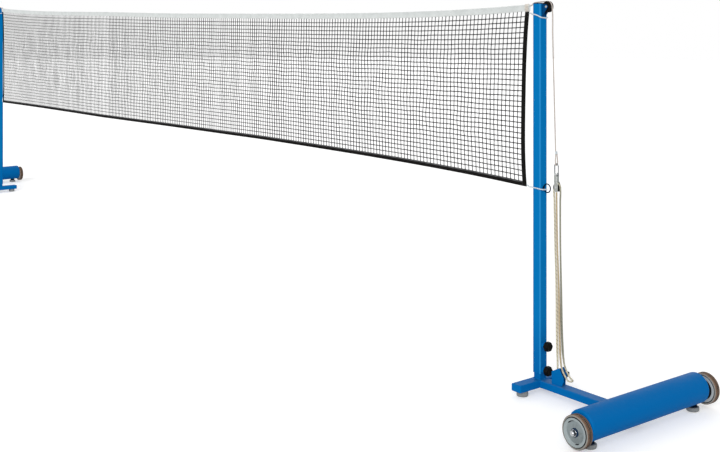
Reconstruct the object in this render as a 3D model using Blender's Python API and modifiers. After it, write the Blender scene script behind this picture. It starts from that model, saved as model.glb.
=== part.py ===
"""A net hung between two weighted, tip-and-roll posts.

Metres, +Z up. The origin is on the floor, midway between the posts. The net runs
along X. Each post unit is drawn once in its own frame, with the post's axis at
X = 0 and the counterweight at +X, and stands at one end of the net; the left
unit is the right one turned half a turn about Z.
"""

import math

import bmesh
import bpy
from mathutils import Matrix, Vector

# Clearance between pieces that touch
FIT = 0.0003

# The whole set
POST_SPAN = 6.150            # post centre to post centre

# Post: square tube, closed at the top, slipped over a spigot
POST_SIZE = 0.040
POST_WALL = 0.0025
POST_CORNER = 0.004
POST_TOP = 1.550
POST_BOTTOM = 0.0735
SPIGOT_WALL = 0.0025
SPIGOT_TOP = 0.300

# Clamping knobs on the post's outer face, and the bosses they screw into
KNOB_HEIGHTS = {"lower": 0.088, "upper": 0.185}
BOSS_RADIUS = 0.013
BOSS_LENGTH = 0.008
STUD_RADIUS = 0.004
KNOB_NECK_RADIUS = 0.009
KNOB_NECK_LENGTH = 0.006
KNOB_RADIUS = 0.020
KNOB_LENGTH = 0.020
KNOB_LOBES = 6
KNOB_LOBE_DEPTH = 0.0018
KNOB_EDGE = 0.003

# Base: a crossbar under the post and an arm out to the counterweight
FOOT_HEIGHT = 0.0205
BAR_WIDTH = 0.050
BAR_HEIGHT = 0.030
BAR_CORNER = 0.004
ARM_WALL = 0.003
CROSSBAR_LENGTH = 0.274
ARM_LIP = 0.030              # how far short of the counterweight's axis the arm ends

# Counterweight cylinder across the arm's end, with the wheels' axle below its axis
WEIGHT_X = 0.511
WEIGHT_Y = -0.010            # its middle, off the arm's own
WEIGHT_Z = 0.0841
WEIGHT_RADIUS = 0.0573
WEIGHT_LENGTH = 0.664
WEIGHT_EDGE = 0.008

# Axle through the counterweight, with a washer and a nut at each end
AXLE_Z = 0.070
AXLE_RADIUS = 0.006
AXLE_END = 0.0028            # thread left past the nut
WASHER_RADIUS = 0.012
WASHER_THICKNESS = 0.002
NUT_RADIUS = 0.011
NUT_HEIGHT = 0.008
RUNNING_FIT = 0.00025

# Wheels: a plastic rim with a hub, and a tyre. The axle slides in its bore, and stands
# slid over, so that one wheel is close to the counterweight and the other well clear of it
NEAR_WHEEL_GAP = 0.002
FAR_WHEEL_GAP = 0.034
TYRE_HEIGHT = 0.0088         # from the rim's outside to the tread
TYRE_WIDTH = 0.028
TYRE_SHOULDER = 0.004
RIM_RADIUS = 0.0507
RIM_FACE = 0.0030            # how far the face's bead stands past the tyre's middle band
RIM_BEAD = 0.0025
RIM_BAND = 0.0117            # from the rim's outside to the round step in its face
RIM_RECESS = 0.0040
RIM_HOLLOW = 0.0100          # depth of the rim's inner side
HUB_RADIUS = 0.0150
HUB_INNER_LENGTH = 0.0015    # hub's reach past the tyre's inner side

# Rubber feet
CROSSBAR_FOOT_RADIUS = 0.0230
CROSSBAR_FOOT_INSET = 0.0370  # foot centre to the crossbar's end
FOOT_EDGE = 0.0025
WEIGHT_FOOT_Y = 0.294
WEIGHT_FOOT_RADIUS = 0.0245
WEIGHT_FOOT_PAD = 0.0165
WEIGHT_FOOT_NECK = 0.0160

# Pulley at the top of the post
SHEAVE_RADIUS = 0.0225
SHEAVE_GROOVE = 0.0185
SHEAVE_WIDTH = 0.0156
SHEAVE_DROP = 0.0123         # axle below the post's top
SHEAVE_GAP = 0.0013          # sheave to the post's face
PIN_RADIUS = 0.004
PIN_HEAD_RADIUS = 0.007
PIN_HEAD_LENGTH = 0.003
LUG_THICKNESS = 0.003
LUG_REACH = 0.0075           # lug past the axle
LUG_BELOW = 0.0392           # lug's foot below the axle
LUG_ABOVE = 0.0098
BACK_PLATE_HEIGHT = 0.0235
SIDE_PLAY = 0.0007

# Eye for the net's lower corner
EYE_HEIGHT = 0.815
EYE_RADIUS = 0.0170
EYE_WIRE = 0.0022
EYE_COLLAR_RADIUS = 0.0060
EYE_COLLAR_LENGTH = 0.0030
TIE_ABOVE_CORNER = 0.006     # where the bottom tie leaves the side tape, above the net's corner
TIE_END_GAP = 0.0014         # a tie's end to the side tape's edge

# Snap hook and tackle block on the tension rope
BLOCK_X = 0.0925
BLOCK_Z = 0.825
BLOCK_WIDTH = 0.020
BLOCK_BELOW = 0.0175
BLOCK_ABOVE = 0.024
BLOCK_CHEEK = 0.002
BLOCK_SHEAVE_RADIUS = 0.0165
BLOCK_SHEAVE_GROOVE = 0.0130
BLOCK_SHEAVE_WIDTH = 0.0120
BLOCK_PIN_RADIUS = 0.0025
STRAP_WIDTH = 0.012
HOOK_X = 0.0890
HOOK_BOTTOM = 0.8705
HOOK_HEIGHT = 0.0470
HOOK_BOW = 0.0095            # radius of the hook's round ends, to the wire's middle
HOOK_WIRE = 0.0025
GATE_WIRE = 0.0020
GATE_LENGTH = 0.0200
GATE_PIVOT_Z = 0.8860

# Toothed cleat on the arm for the tackle's rope; sizes are from its back and its foot
CLEAT_X = 0.078
CLEAT_INSIDE = 0.0270
CLEAT_PLATE = 0.003
CLEAT_BACK_HEIGHT = 0.049
CLEAT_WEB_HEIGHT = 0.045     # the folded back between the two cheeks
CLEAT_CREST_X = 0.0408
CLEAT_CREST_HEIGHT = 0.0713
CLEAT_NOTCH_X = 0.0470
CLEAT_NOTCH_HEIGHT = 0.0480
CLEAT_EAR_X = 0.0640         # the ear in front of the notch, which keeps the rope in it
CLEAT_EAR_LENGTH = 0.0080
CLEAT_EAR_BOTTOM = 0.0400
CLEAT_EAR_TOP = 0.0560
CLEAT_WAIST_HEIGHT = 0.0290
CLEAT_FOOT_LENGTH = 0.0440
CLEAT_TEETH = 4
CLEAT_TOOTH_DEPTH = 0.0020

# Cords
ROPE_RADIUS = 0.0025
TACKLE_RADIUS = 0.0030
TIE_RADIUS = 0.0020

# Net: real mesh is drawn as a coarse net of the same outline
NET_END_TOP = 0.054          # post's axis to the net's end, at the top corner
NET_END_BOTTOM = 0.0725      # and at the bottom corner
NET_SIDE_BOW = 0.016         # how far the net's ends bow in between their corners
NET_SIDE_POWER = 3
NET_TOP_DROP = 0.002         # top corner below the post's top
NET_TOP_SAG = 0.040
NET_SAG_POWER = 5            # the top edge is flat in the middle and lifts near the posts
NET_RIGHT_CORNER = 0.808     # height of the bottom corners
NET_LEFT_CORNER = 0.762
NET_BOTTOM_RISE = 0.018      # the bottom edge bows up between its corners
HEAD_TAPE_HEIGHT = 0.028
HEAD_TAPE_THICKNESS = 0.005
FOOT_TAPE_HEIGHT = 0.015
FOOT_TAPE_THICKNESS = 0.004
SIDE_TAPE_WIDTH = 0.024
SIDE_TAPE_THICKNESS = 0.004
NET_STRAND = 0.0030
NET_COLUMNS = 34
NET_ROWS = 5
TAPE_STEPS = 34
SIDE_TAPE_STEPS = 8

# Faces round a turned piece
WHEEL_STEPS = 18
WEIGHT_STEPS = 32
SMALL_STEPS = 12
FOOT_STEPS = 16
FALL_STEPS = 5               # stretches of the rope between the sheave and the hook's eye

# Routes of the cords, in a post unit's own frame. Heights are from the post's top:
HEAD_ROPE_START = -0.0085    # where the rope comes out of the head tape
HEAD_ROPE_ROUTE = [
    (-0.0500, 0.0000, -0.0083), (-0.0430, 0.0000, -0.0050), (-0.0350, 0.0000, 0.0010),
    (-0.0270, 0.0000, 0.0042), (-0.0180, 0.0000, 0.0052), (0.0000, 0.0000, 0.0066),
    (0.0200, 0.0000, 0.0078),
]
TOP_TIE_START = -0.0380      # where the top tie leaves the side tape
TOP_TIE_ROUTE = [
    (-0.0440, -0.0050, -0.0382), (-0.0330, -0.0140, -0.0392),
    (-0.0245, -0.0205, -0.0402), (-0.0180, -0.0224, -0.0412), (0.0000, -0.0224, -0.0450),
    (0.0180, -0.0224, -0.0510), (0.0212, -0.0212, -0.0528), (0.0224, -0.0180, -0.0540),
    (0.0224, 0.0000, -0.0563), (0.0224, 0.0180, -0.0565), (0.0212, 0.0212, -0.0560),
    (0.0180, 0.0224, -0.0550), (0.0000, 0.0224, -0.0515), (-0.0180, 0.0224, -0.0480),
    (-0.0245, 0.0205, -0.0465), (-0.0330, 0.0120, -0.0445), (-0.0415, -0.0035, -0.0422),
]
# from the snap hook's foot:
HOOK_EYE_ROUTE = [
    (0.0840, -0.0004, 0.1045), (0.0858, -0.0016, 0.0815), (0.0875, -0.0048, 0.0675),
    (0.0888, -0.0062, 0.0585), (0.0890, -0.0061, 0.0495), (0.0890, -0.0045, 0.0439),
    (0.0890, 0.0000, 0.0414), (0.0890, 0.0045, 0.0439), (0.0890, 0.0061, 0.0495),
    (0.0888, 0.0064, 0.0585), (0.0880, 0.0060, 0.0675), (0.0868, 0.0056, 0.0775),
    (0.0856, 0.0055, 0.0865), (0.0848, 0.0056, 0.0955),
]
# from the tie eye's middle:
BOTTOM_TIE_ROUTE = [
    (-0.0480, -0.0110, -0.0040), (-0.0260, -0.0200, -0.0010), (-0.0180, -0.0224, -0.0012),
    (0.0000, -0.0224, -0.0020), (0.0180, -0.0224, -0.0032), (0.0220, -0.0214, -0.0038),
    (0.0260, -0.0180, -0.0046), (0.0290, -0.0110, -0.0058), (0.0300, 0.0000, -0.0062),
    (0.0300, 0.0100, -0.0060),
]
# and from the floor:
TACKLE_RISE = [
    (0.1035, -0.0100, 0.1020), (0.1038, -0.0100, 0.1300), (0.1003, -0.0096, 0.2280),
    (0.0947, -0.0065, 0.4200), (0.0846, -0.0030, 0.6050), (0.0782, -0.0004, 0.7700),
]
TACKLE_FALL = [
    (0.1080, 0.0004, 0.7700), (0.1062, 0.0030, 0.6050), (0.1073, 0.0065, 0.4200),
    (0.1100, 0.0095, 0.2280), (0.1158, 0.0100, 0.1550), (0.1218, 0.0100, 0.1280),
    (0.1310, 0.0100, 0.1110), (0.1420, 0.0100, 0.0960), (0.1530, 0.0108, 0.0850),
    (0.1600, 0.0108, 0.0812), (0.1660, 0.0080, 0.0800), (0.1685, 0.0000, 0.0796),
    (0.1660, -0.0080, 0.0800), (0.1600, -0.0108, 0.0812), (0.1530, -0.0108, 0.0850),
    (0.1420, -0.0100, 0.0960), (0.1310, -0.0100, 0.1110), (0.1232, -0.0100, 0.1280),
    (0.1190, -0.0100, 0.1550), (0.1145, -0.0098, 0.2280), (0.1085, -0.0084, 0.4200),
    (0.0998, -0.0079, 0.6050), (0.0962, -0.0077, 0.7700), (0.0960, -0.0077, 0.8072),
]

# Where pieces meet, worked out from the sizes above
POST_FACE = POST_SIZE / 2
SPIGOT_SIZE = POST_SIZE - 2 * POST_WALL - 2 * FIT
BAR_BOTTOM = FOOT_HEIGHT + FIT
BAR_TOP = BAR_BOTTOM + BAR_HEIGHT
BOSS_END = POST_FACE + BOSS_LENGTH
SHEAVE_X = POST_FACE + SHEAVE_GAP + SHEAVE_RADIUS
SHEAVE_Z = POST_TOP - SHEAVE_DROP
WHEEL_SPREAD = WEIGHT_LENGTH + NEAR_WHEEL_GAP + FAR_WHEEL_GAP + TYRE_WIDTH
AXLE_Y = WEIGHT_Y + (FAR_WHEEL_GAP - NEAR_WHEEL_GAP) / 2
HUB_OUTER = TYRE_WIDTH / 2 + RIM_FACE
TYRE_RADIUS = RIM_RADIUS + TYRE_HEIGHT
RIM_STEP = RIM_RADIUS - RIM_BAND
NET_TOP = POST_TOP - NET_TOP_DROP
NET_HALF_TOP = POST_SPAN / 2 - NET_END_TOP
NET_HALF_BOTTOM = POST_SPAN / 2 - NET_END_BOTTOM

for old in list(bpy.data.objects):
    bpy.data.objects.remove(old)

PARTS = bpy.data.collections.new("net_on_posts")
CUTTERS = bpy.data.collections.new("net_on_posts_cutters")
bpy.context.scene.collection.children.link(PARTS)
bpy.context.scene.collection.children.link(CUTTERS)


def finish(name, colour, roughness, metallic):
    """A material with one plain finish."""
    material = bpy.data.materials.new(name)
    material.use_nodes = True
    shader = material.node_tree.nodes["Principled BSDF"]
    shader.inputs["Base Color"].default_value = (*colour, 1.0)
    shader.inputs["Roughness"].default_value = roughness
    shader.inputs["Metallic"].default_value = metallic
    material.diffuse_color = (*colour, 1.0)
    return material


BLUE_PAINT = finish("blue_paint", (0.000, 0.165, 0.510), 0.35, 0.0)
NAVY_PAINT = finish("navy_paint", (0.004, 0.035, 0.150), 0.40, 0.0)
BLACK_PLASTIC = finish("black_plastic", (0.012, 0.012, 0.013), 0.45, 0.0)
GREY_PLASTIC = finish("grey_plastic", (0.420, 0.440, 0.440), 0.50, 0.0)
TYRE_RUBBER = finish("tyre_rubber", (0.200, 0.170, 0.145), 0.80, 0.0)
FOOT_RUBBER = finish("foot_rubber", (0.230, 0.230, 0.225), 0.75, 0.0)
BRIGHT_STEEL = finish("bright_steel", (0.620, 0.630, 0.640), 0.28, 1.0)
DARK_STEEL = finish("dark_steel", (0.060, 0.070, 0.085), 0.38, 1.0)
ZINC_STEEL = finish("zinc_steel", (0.500, 0.510, 0.510), 0.45, 1.0)
WHITE_CORD = finish("white_cord", (0.760, 0.740, 0.660), 0.85, 0.0)
BEIGE_CORD = finish("beige_cord", (0.620, 0.550, 0.390), 0.85, 0.0)
WHITE_TAPE = finish("white_tape", (0.780, 0.800, 0.780), 0.80, 0.0)
BLACK_TAPE = finish("black_tape", (0.016, 0.016, 0.017), 0.85, 0.0)
NET_THREAD = finish("net_thread", (0.030, 0.030, 0.032), 0.80, 0.0)


def place(name, data, material, parent, location=(0, 0, 0), rotation=(0, 0, 0)):
    """Make an object, give it its material and stand it in its unit."""
    piece = bpy.data.objects.new(name, data)
    if material is not None:
        data.materials.append(material)
    PARTS.objects.link(piece)
    piece.parent = parent
    piece.location = location
    piece.rotation_euler = rotation
    return piece


def to_mesh(bm, name, smooth=True):
    """Turn a bmesh into a mesh, with sharp edges kept sharp."""
    mesh = bpy.data.meshes.new(name)
    bmesh.ops.recalc_face_normals(bm, faces=bm.faces)
    bm.to_mesh(mesh)
    bm.free()
    if smooth:
        mesh.shade_smooth()
        mesh.set_sharp_from_angle(angle=math.radians(35))
    return mesh


def cutter(piece):
    """Keep an object out of the build: it only shapes another."""
    PARTS.objects.unlink(piece)
    CUTTERS.objects.link(piece)
    piece.hide_render = True
    piece.display_type = "WIRE"
    return piece


def shape_with(piece, tool, operation):
    """Join a tool to a piece, or cut the piece with it."""
    modifier = piece.modifiers.new(tool.name, "BOOLEAN")
    modifier.operation = operation
    modifier.solver = "EXACT"
    modifier.object = cutter(tool)
    return piece


def bevel(piece, width, segments):
    """Round a piece's sharp edges."""
    modifier = piece.modifiers.new("edges", "BEVEL")
    modifier.width = width
    modifier.segments = segments
    modifier.limit_method = "ANGLE"
    modifier.angle_limit = math.radians(40)
    return piece


def block_between(name, low, high, material, parent):
    """A plain block from its lowest to its highest corner."""
    low, high = Vector(low), Vector(high)
    bm = bmesh.new()
    bmesh.ops.create_cube(bm, size=1, matrix=Matrix.Diagonal((*(high - low), 1)))
    return place(name, to_mesh(bm, name), material, parent, (low + high) / 2)


def rod(name, radius, length, material, parent, location, rotation=(0, 0, 0), sides=SMALL_STEPS):
    """A round bar about its own Z, centred on its location."""
    bm = bmesh.new()
    bmesh.ops.create_cone(bm, cap_ends=True, segments=sides, radius1=radius, radius2=radius,
                          depth=length)
    return place(name, to_mesh(bm, name), material, parent, location, rotation)


ALONG_X = (0, math.radians(90), 0)
ALONG_Y = (math.radians(-90), 0, 0)


def turned(name, profile, closed, steps, material, parent, location, rotation=(0, 0, 0)):
    """Turn a profile of (radius, height) points about the piece's own Z."""
    bm = bmesh.new()
    corners = [bm.verts.new((radius, 0, height)) for radius, height in profile]
    for first, second in zip(corners, corners[1:]):
        bm.edges.new((first, second))
    if closed:
        bm.edges.new((corners[-1], corners[0]))
    mesh = bpy.data.meshes.new(name)
    bm.to_mesh(mesh)
    bm.free()
    piece = place(name, mesh, material, parent, location, rotation)
    screw = piece.modifiers.new("turn", "SCREW")
    screw.steps = steps
    screw.render_steps = steps
    screw.use_merge_vertices = True
    screw.merge_threshold = 0.00005
    screw.use_smooth_shade = True
    return piece


def rounded_rectangle(width, height, radius, segments):
    """Corners of a rectangle with round corners, anticlockwise about its middle."""
    points = []
    for quarter, (sx, sy) in enumerate(((1, 1), (-1, 1), (-1, -1), (1, -1))):
        for step in range(segments + 1):
            angle = math.radians(90) * (quarter + step / segments)
            points.append((sx * (width / 2 - radius) + radius * math.cos(angle),
                           sy * (height / 2 - radius) + radius * math.sin(angle)))
    return points


def tube_section(name, width, height, radius, wall, start, end, open_ends, material, parent,
                 location=(0, 0, 0), rotation=(0, 0, 0)):
    """A rectangular tube along its own Z. open_ends holds START, END or both."""
    bm = bmesh.new()
    corners = [bm.verts.new((x, y, start)) for x, y in rounded_rectangle(width, height, radius, 2)]
    floor = bm.faces.new(corners)
    lifted = bmesh.ops.extrude_face_region(bm, geom=[floor])["geom"]
    top_corners = [item for item in lifted if isinstance(item, bmesh.types.BMVert)]
    bmesh.ops.translate(bm, verts=top_corners, vec=(0, 0, end - start))
    bmesh.ops.recalc_face_normals(bm, faces=bm.faces)
    bm.faces.ensure_lookup_table()
    drop = []
    for face in bm.faces:
        if abs(face.normal.z) > 0.9:
            is_top = face.calc_center_median().z > (start + end) / 2
            if (is_top and "END" in open_ends) or (not is_top and "START" in open_ends):
                drop.append(face)
    bmesh.ops.delete(bm, geom=drop, context="FACES_ONLY")
    mesh = bpy.data.meshes.new(name)
    bm.to_mesh(mesh)
    bm.free()
    piece = place(name, mesh, material, parent, location, rotation)
    shell = piece.modifiers.new("wall", "SOLIDIFY")
    shell.thickness = wall
    shell.offset = -1
    shell.use_even_offset = True
    return piece


def plate(name, outline, thickness, material, parent, location=(0, 0, 0), rotation=(0, 0, 0)):
    """A flat plate: an outline in its own XY, half its thickness to each side."""
    curve = bpy.data.curves.new(name, "CURVE")
    curve.dimensions = "2D"
    curve.fill_mode = "BOTH"
    curve.extrude = thickness / 2
    spline = curve.splines.new("POLY")
    spline.points.add(len(outline) - 1)
    for point, (x, y) in zip(spline.points, outline):
        point.co = (x, y, 0, 1)
    spline.use_cyclic_u = True
    flat = place(name + "_outline", curve, None, parent, location, rotation)
    bpy.context.view_layer.update()
    evaluated = flat.evaluated_get(bpy.context.evaluated_depsgraph_get())
    mesh = bpy.data.meshes.new_from_object(evaluated)
    bpy.data.objects.remove(flat)
    bm = bmesh.new()
    bm.from_mesh(mesh)
    bmesh.ops.remove_doubles(bm, verts=bm.verts, dist=0.00001)
    bmesh.ops.recalc_face_normals(bm, faces=bm.faces)
    bm.to_mesh(mesh)
    bm.free()
    mesh.name = name
    mesh.materials.clear()
    return place(name, mesh, material, parent, location, rotation)


UPRIGHT = (math.radians(90), 0, 0)   # a plate's own X and Y become X and Z; its face looks along -Y


def smooth(route):
    """Points of a smooth curve through a route's own points, closer together where it bends."""
    points = [Vector(point) for point in route]
    points = [2 * points[0] - points[1]] + points + [2 * points[-1] - points[-2]]
    curve = [points[1]]
    for before, start, end, after in zip(points, points[1:], points[2:], points[3:]):
        run_in, run, run_out = start - before, end - start, after - end
        length = run.length
        leave = (run_in * length / run_in.length + run * run_in.length / length)
        leave *= length / (run_in.length + length)
        arrive = (run * run_out.length / length + run_out * length / run_out.length)
        arrive *= length / (run_out.length + length)
        bend = run_in.angle(run) + run.angle(run_out)
        pieces = 2 if bend > math.radians(50) else 1
        for step in range(1, pieces + 1):
            t = step / pieces
            curve.append(start * (2 * t**3 - 3 * t**2 + 1) + leave * (t**3 - 2 * t**2 + t)
                         + end * (3 * t**2 - 2 * t**3) + arrive * (t**3 - t**2))
    return curve


def cord(name, route, radius, material, parent):
    """A round cord or bent wire along a route of points."""
    curve = bpy.data.curves.new(name, "CURVE")
    curve.dimensions = "3D"
    curve.bevel_depth = radius
    curve.bevel_resolution = 2
    curve.use_fill_caps = True
    spline = curve.splines.new("POLY")
    spline.points.add(len(route) - 1)
    for point, (x, y, z) in zip(spline.points, route):
        point.co = (x, y, z, 1)
    return place(name, curve, material, parent)


def lifted(route, height):
    """A route whose heights are measured from another height than the floor."""
    return [(x, y, z + height) for x, y, z in route]


def arc_over(centre_x, centre_z, radius, first, last, count):
    """Points over a sheave, in the plane of the rope, from one bearing to another in degrees."""
    points = []
    for step in range(count):
        angle = math.radians(first + (last - first) * step / (count - 1))
        points.append((centre_x + radius * math.cos(angle), 0.0, centre_z + radius * math.sin(angle)))
    return points


# ---------------------------------------------------------------- post and base

def make_crossbar(side, unit):
    """Crossbar with the post's spigot welded on its middle."""
    crossbar = block_between(
        side + "_crossbar",
        (-BAR_WIDTH / 2, -CROSSBAR_LENGTH / 2, BAR_BOTTOM),
        (BAR_WIDTH / 2, CROSSBAR_LENGTH / 2, BAR_TOP), BLUE_PAINT, unit)
    bevel(crossbar, BAR_CORNER, 2)
    sunk = 0.001
    spigot = tube_section(side + "_spigot", SPIGOT_SIZE, SPIGOT_SIZE, POST_CORNER - POST_WALL / 2,
                          SPIGOT_WALL, BAR_TOP - sunk, SPIGOT_TOP, ("END",), None, unit)
    shape_with(crossbar, spigot, "UNION")


def make_arm(side, unit):
    """Rectangular tube from the crossbar to the counterweight, its end coped to the cylinder."""
    start = BAR_WIDTH / 2 + FIT
    end = WEIGHT_X - ARM_LIP
    arm = tube_section(side + "_arm", BAR_HEIGHT, BAR_WIDTH, BAR_CORNER, ARM_WALL, start, end,
                       ("START", "END"), BLUE_PAINT, unit,
                       (0, 0, (BAR_BOTTOM + BAR_TOP) / 2), ALONG_X)
    saddle = rod(side + "_saddle", WEIGHT_RADIUS + FIT, BAR_WIDTH * 2, None, unit,
                 (WEIGHT_X, 0, WEIGHT_Z), ALONG_Y, WEIGHT_STEPS)
    shape_with(arm, saddle, "DIFFERENCE")


def make_post(side, unit):
    """Square tube with a closed top, open below, with two bosses tapped for the knobs."""
    post = tube_section(side + "_post", POST_SIZE, POST_SIZE, POST_CORNER, POST_WALL,
                        POST_BOTTOM, POST_TOP, ("START",), BLUE_PAINT, unit)
    root = POST_WALL / 2
    for level, height in KNOB_HEIGHTS.items():
        boss = rod(side + "_boss_" + level, BOSS_RADIUS, BOSS_LENGTH + root, None, unit,
                   (POST_FACE + (BOSS_LENGTH - root) / 2, 0, height), ALONG_X, FOOT_STEPS)
        shape_with(post, boss, "UNION")
    for level, height in KNOB_HEIGHTS.items():
        depth = BOSS_LENGTH + POST_WALL
        hole = rod(side + "_hole_" + level, STUD_RADIUS + FIT, depth * 1.5, None, unit,
                   (POST_FACE + BOSS_LENGTH - depth * 0.6, 0, height), ALONG_X)
        shape_with(post, hole, "DIFFERENCE")


def make_knob(side, level, height, unit):
    """Lobed hand knob on a threaded stud that bears on the spigot."""
    base = BOSS_END + FIT
    name = side + "_" + level + "_knob"
    sides = KNOB_LOBES * 4
    bm = bmesh.new()
    bmesh.ops.create_cone(bm, cap_ends=True, segments=sides, radius1=KNOB_RADIUS,
                          radius2=KNOB_RADIUS, depth=KNOB_LENGTH)
    for vertex in bm.verts:
        angle = math.atan2(vertex.co.y, vertex.co.x)
        radius = KNOB_RADIUS - KNOB_LOBE_DEPTH * (1 - math.cos(KNOB_LOBES * angle)) / 2
        vertex.co.x = radius * math.cos(angle)
        vertex.co.y = radius * math.sin(angle)
        vertex.co.z += KNOB_NECK_LENGTH + KNOB_LENGTH / 2
    knob = place(name, to_mesh(bm, name), BLACK_PLASTIC, unit, (base, 0, height), ALONG_X)
    rim = knob.modifiers.new("rim", "BEVEL")
    rim.width = KNOB_EDGE
    rim.segments = 1
    rim.limit_method = "ANGLE"
    rim.angle_limit = math.radians(60)
    reach = base - (SPIGOT_SIZE / 2 + FIT)
    overlap = KNOB_NECK_LENGTH / 2
    shank = turned(name + "_shank", [
        (0, KNOB_NECK_LENGTH + overlap), (KNOB_NECK_RADIUS, KNOB_NECK_LENGTH + overlap),
        (KNOB_NECK_RADIUS, 0), (STUD_RADIUS, 0), (STUD_RADIUS, -reach), (0, -reach),
    ], False, SMALL_STEPS, None, unit, (base, 0, height), ALONG_X)
    shape_with(knob, shank, "UNION")


def make_counterweight(side, unit):
    """Filled pipe across the arm's end, with round edges and a bore for the axle."""
    half = WEIGHT_LENGTH / 2
    arc = [(WEIGHT_RADIUS - WEIGHT_EDGE * (1 - math.sin(math.radians(angle))),
            half - WEIGHT_EDGE * (1 - math.cos(math.radians(angle)))) for angle in (0, 45, 90)]
    lower = [(radius, -height) for radius, height in reversed(arc)]
    weight = turned(side + "_counterweight", [(0, half)] + arc + lower + [(0, -half)], False,
                    WEIGHT_STEPS, BLUE_PAINT, unit, (WEIGHT_X, WEIGHT_Y, WEIGHT_Z), ALONG_Y)
    bore = rod(side + "_axle_bore", AXLE_RADIUS + FIT, WEIGHT_LENGTH * 1.1, None, unit,
               (WEIGHT_X, WEIGHT_Y, AXLE_Z), ALONG_Y)
    shape_with(weight, bore, "DIFFERENCE")


def make_axle(side, unit):
    """Axle through the counterweight, with a washer and a nut outside each wheel."""
    washer = WHEEL_SPREAD / 2 + HUB_OUTER + FIT
    nut = washer + WASHER_THICKNESS
    end = nut + NUT_HEIGHT + AXLE_END
    upper = [(0, end), (AXLE_RADIUS, end), (AXLE_RADIUS, nut), (WASHER_RADIUS, nut),
             (WASHER_RADIUS, washer), (AXLE_RADIUS, washer)]
    lower = [(radius, -height) for radius, height in reversed(upper)]
    axle = turned(side + "_axle", upper + lower, False, SMALL_STEPS, BRIGHT_STEEL, unit,
                  (WEIGHT_X, AXLE_Y, AXLE_Z), ALONG_Y)
    overlap = WASHER_THICKNESS / 2
    for sign in (-1, 1):
        middle = AXLE_Y + sign * (nut + (NUT_HEIGHT - overlap) / 2)
        hexagon = rod(side + "_nut", NUT_RADIUS, NUT_HEIGHT + overlap, None, unit,
                      (WEIGHT_X, middle, AXLE_Z), ALONG_Y, 6)
        shape_with(axle, hexagon, "UNION")


def make_wheel(side, facing, sign, unit):
    """Rim with a stepped face, a hub and a hollow inner side, and its tyre."""
    half = TYRE_WIDTH / 2
    bore = AXLE_RADIUS + RUNNING_FIT
    face = half + RIM_FACE - RIM_BEAD
    recess = face - RIM_RECESS
    web = -half + RIM_HOLLOW
    hub_inner = -half - HUB_INNER_LENGTH
    place_on_axle = (WEIGHT_X, AXLE_Y + sign * WHEEL_SPREAD / 2, AXLE_Z)
    outward = (math.radians(-90 * sign), 0, 0)
    turned(side + "_wheel_rim_" + facing, [
        (bore, HUB_OUTER), (HUB_RADIUS, HUB_OUTER), (HUB_RADIUS, recess),
        (RIM_STEP, recess), (RIM_STEP + RIM_BEAD, face), (RIM_RADIUS - 1.6 * RIM_BEAD, face),
        (RIM_RADIUS - RIM_BEAD, half + RIM_FACE), (RIM_RADIUS, half),
        (RIM_RADIUS, -half), (RIM_RADIUS - 2 * RIM_BEAD, -half),
        (RIM_RADIUS - 3 * RIM_BEAD, web), (HUB_RADIUS, web), (HUB_RADIUS, hub_inner),
        (bore, hub_inner),
    ], True, WHEEL_STEPS, GREY_PLASTIC, unit, place_on_axle, outward)
    seat = RIM_RADIUS + FIT
    side_wall = TYRE_RADIUS - TYRE_SHOULDER
    shoulder = half - TYRE_SHOULDER
    turned(side + "_tyre_" + facing, [
        (seat, half), (side_wall, half), (TYRE_RADIUS, shoulder), (TYRE_RADIUS, -shoulder),
        (side_wall, -half), (seat, -half),
    ], True, WHEEL_STEPS, TYRE_RUBBER, unit, place_on_axle, outward)


def make_feet(side, facing, sign, unit):
    """Rubber feet: one under the crossbar's end, one under the counterweight's end."""
    turned(side + "_crossbar_foot_" + facing, [
        (0, FOOT_HEIGHT), (CROSSBAR_FOOT_RADIUS - FOOT_EDGE, FOOT_HEIGHT),
        (CROSSBAR_FOOT_RADIUS, FOOT_HEIGHT - FOOT_EDGE), (CROSSBAR_FOOT_RADIUS, FOOT_EDGE),
        (CROSSBAR_FOOT_RADIUS - FOOT_EDGE, 0), (0, 0),
    ], False, FOOT_STEPS, FOOT_RUBBER, unit,
        (0, sign * (CROSSBAR_LENGTH / 2 - CROSSBAR_FOOT_INSET), 0))
    neck_top = WEIGHT_Z - WEIGHT_RADIUS * 0.8
    foot = turned(side + "_weight_foot_" + facing, [
        (0, neck_top), (WEIGHT_FOOT_NECK, neck_top), (WEIGHT_FOOT_NECK, WEIGHT_FOOT_PAD),
        (WEIGHT_FOOT_RADIUS - FOOT_EDGE, WEIGHT_FOOT_PAD),
        (WEIGHT_FOOT_RADIUS, WEIGHT_FOOT_PAD - FOOT_EDGE), (WEIGHT_FOOT_RADIUS, FOOT_EDGE * 1.5),
        (WEIGHT_FOOT_RADIUS - FOOT_EDGE * 1.5, 0), (0, 0),
    ], False, FOOT_STEPS, FOOT_RUBBER, unit, (WEIGHT_X, sign * WEIGHT_FOOT_Y, 0))
    saddle = rod(side + "_foot_saddle", WEIGHT_RADIUS + FIT, WEIGHT_FOOT_RADIUS * 3, None, unit,
                 (WEIGHT_X, sign * WEIGHT_FOOT_Y, WEIGHT_Z), ALONG_Y, WEIGHT_STEPS)
    shape_with(foot, saddle, "DIFFERENCE")


# ---------------------------------------------------------------- fittings on the post

def sheave_profile(radius, groove, width, bore):
    """Outline of a grooved sheave about its axle, as a closed loop."""
    half = width / 2
    mouth = half * 0.75
    slope = groove + (radius - groove) * 0.12
    return [
        (bore, half), (radius, half), (radius, mouth), (slope, mouth * 0.55),
        (groove, mouth * 0.25), (groove, -mouth * 0.25), (slope, -mouth * 0.55),
        (radius, -mouth), (radius, -half), (bore, -half),
    ]


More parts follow.
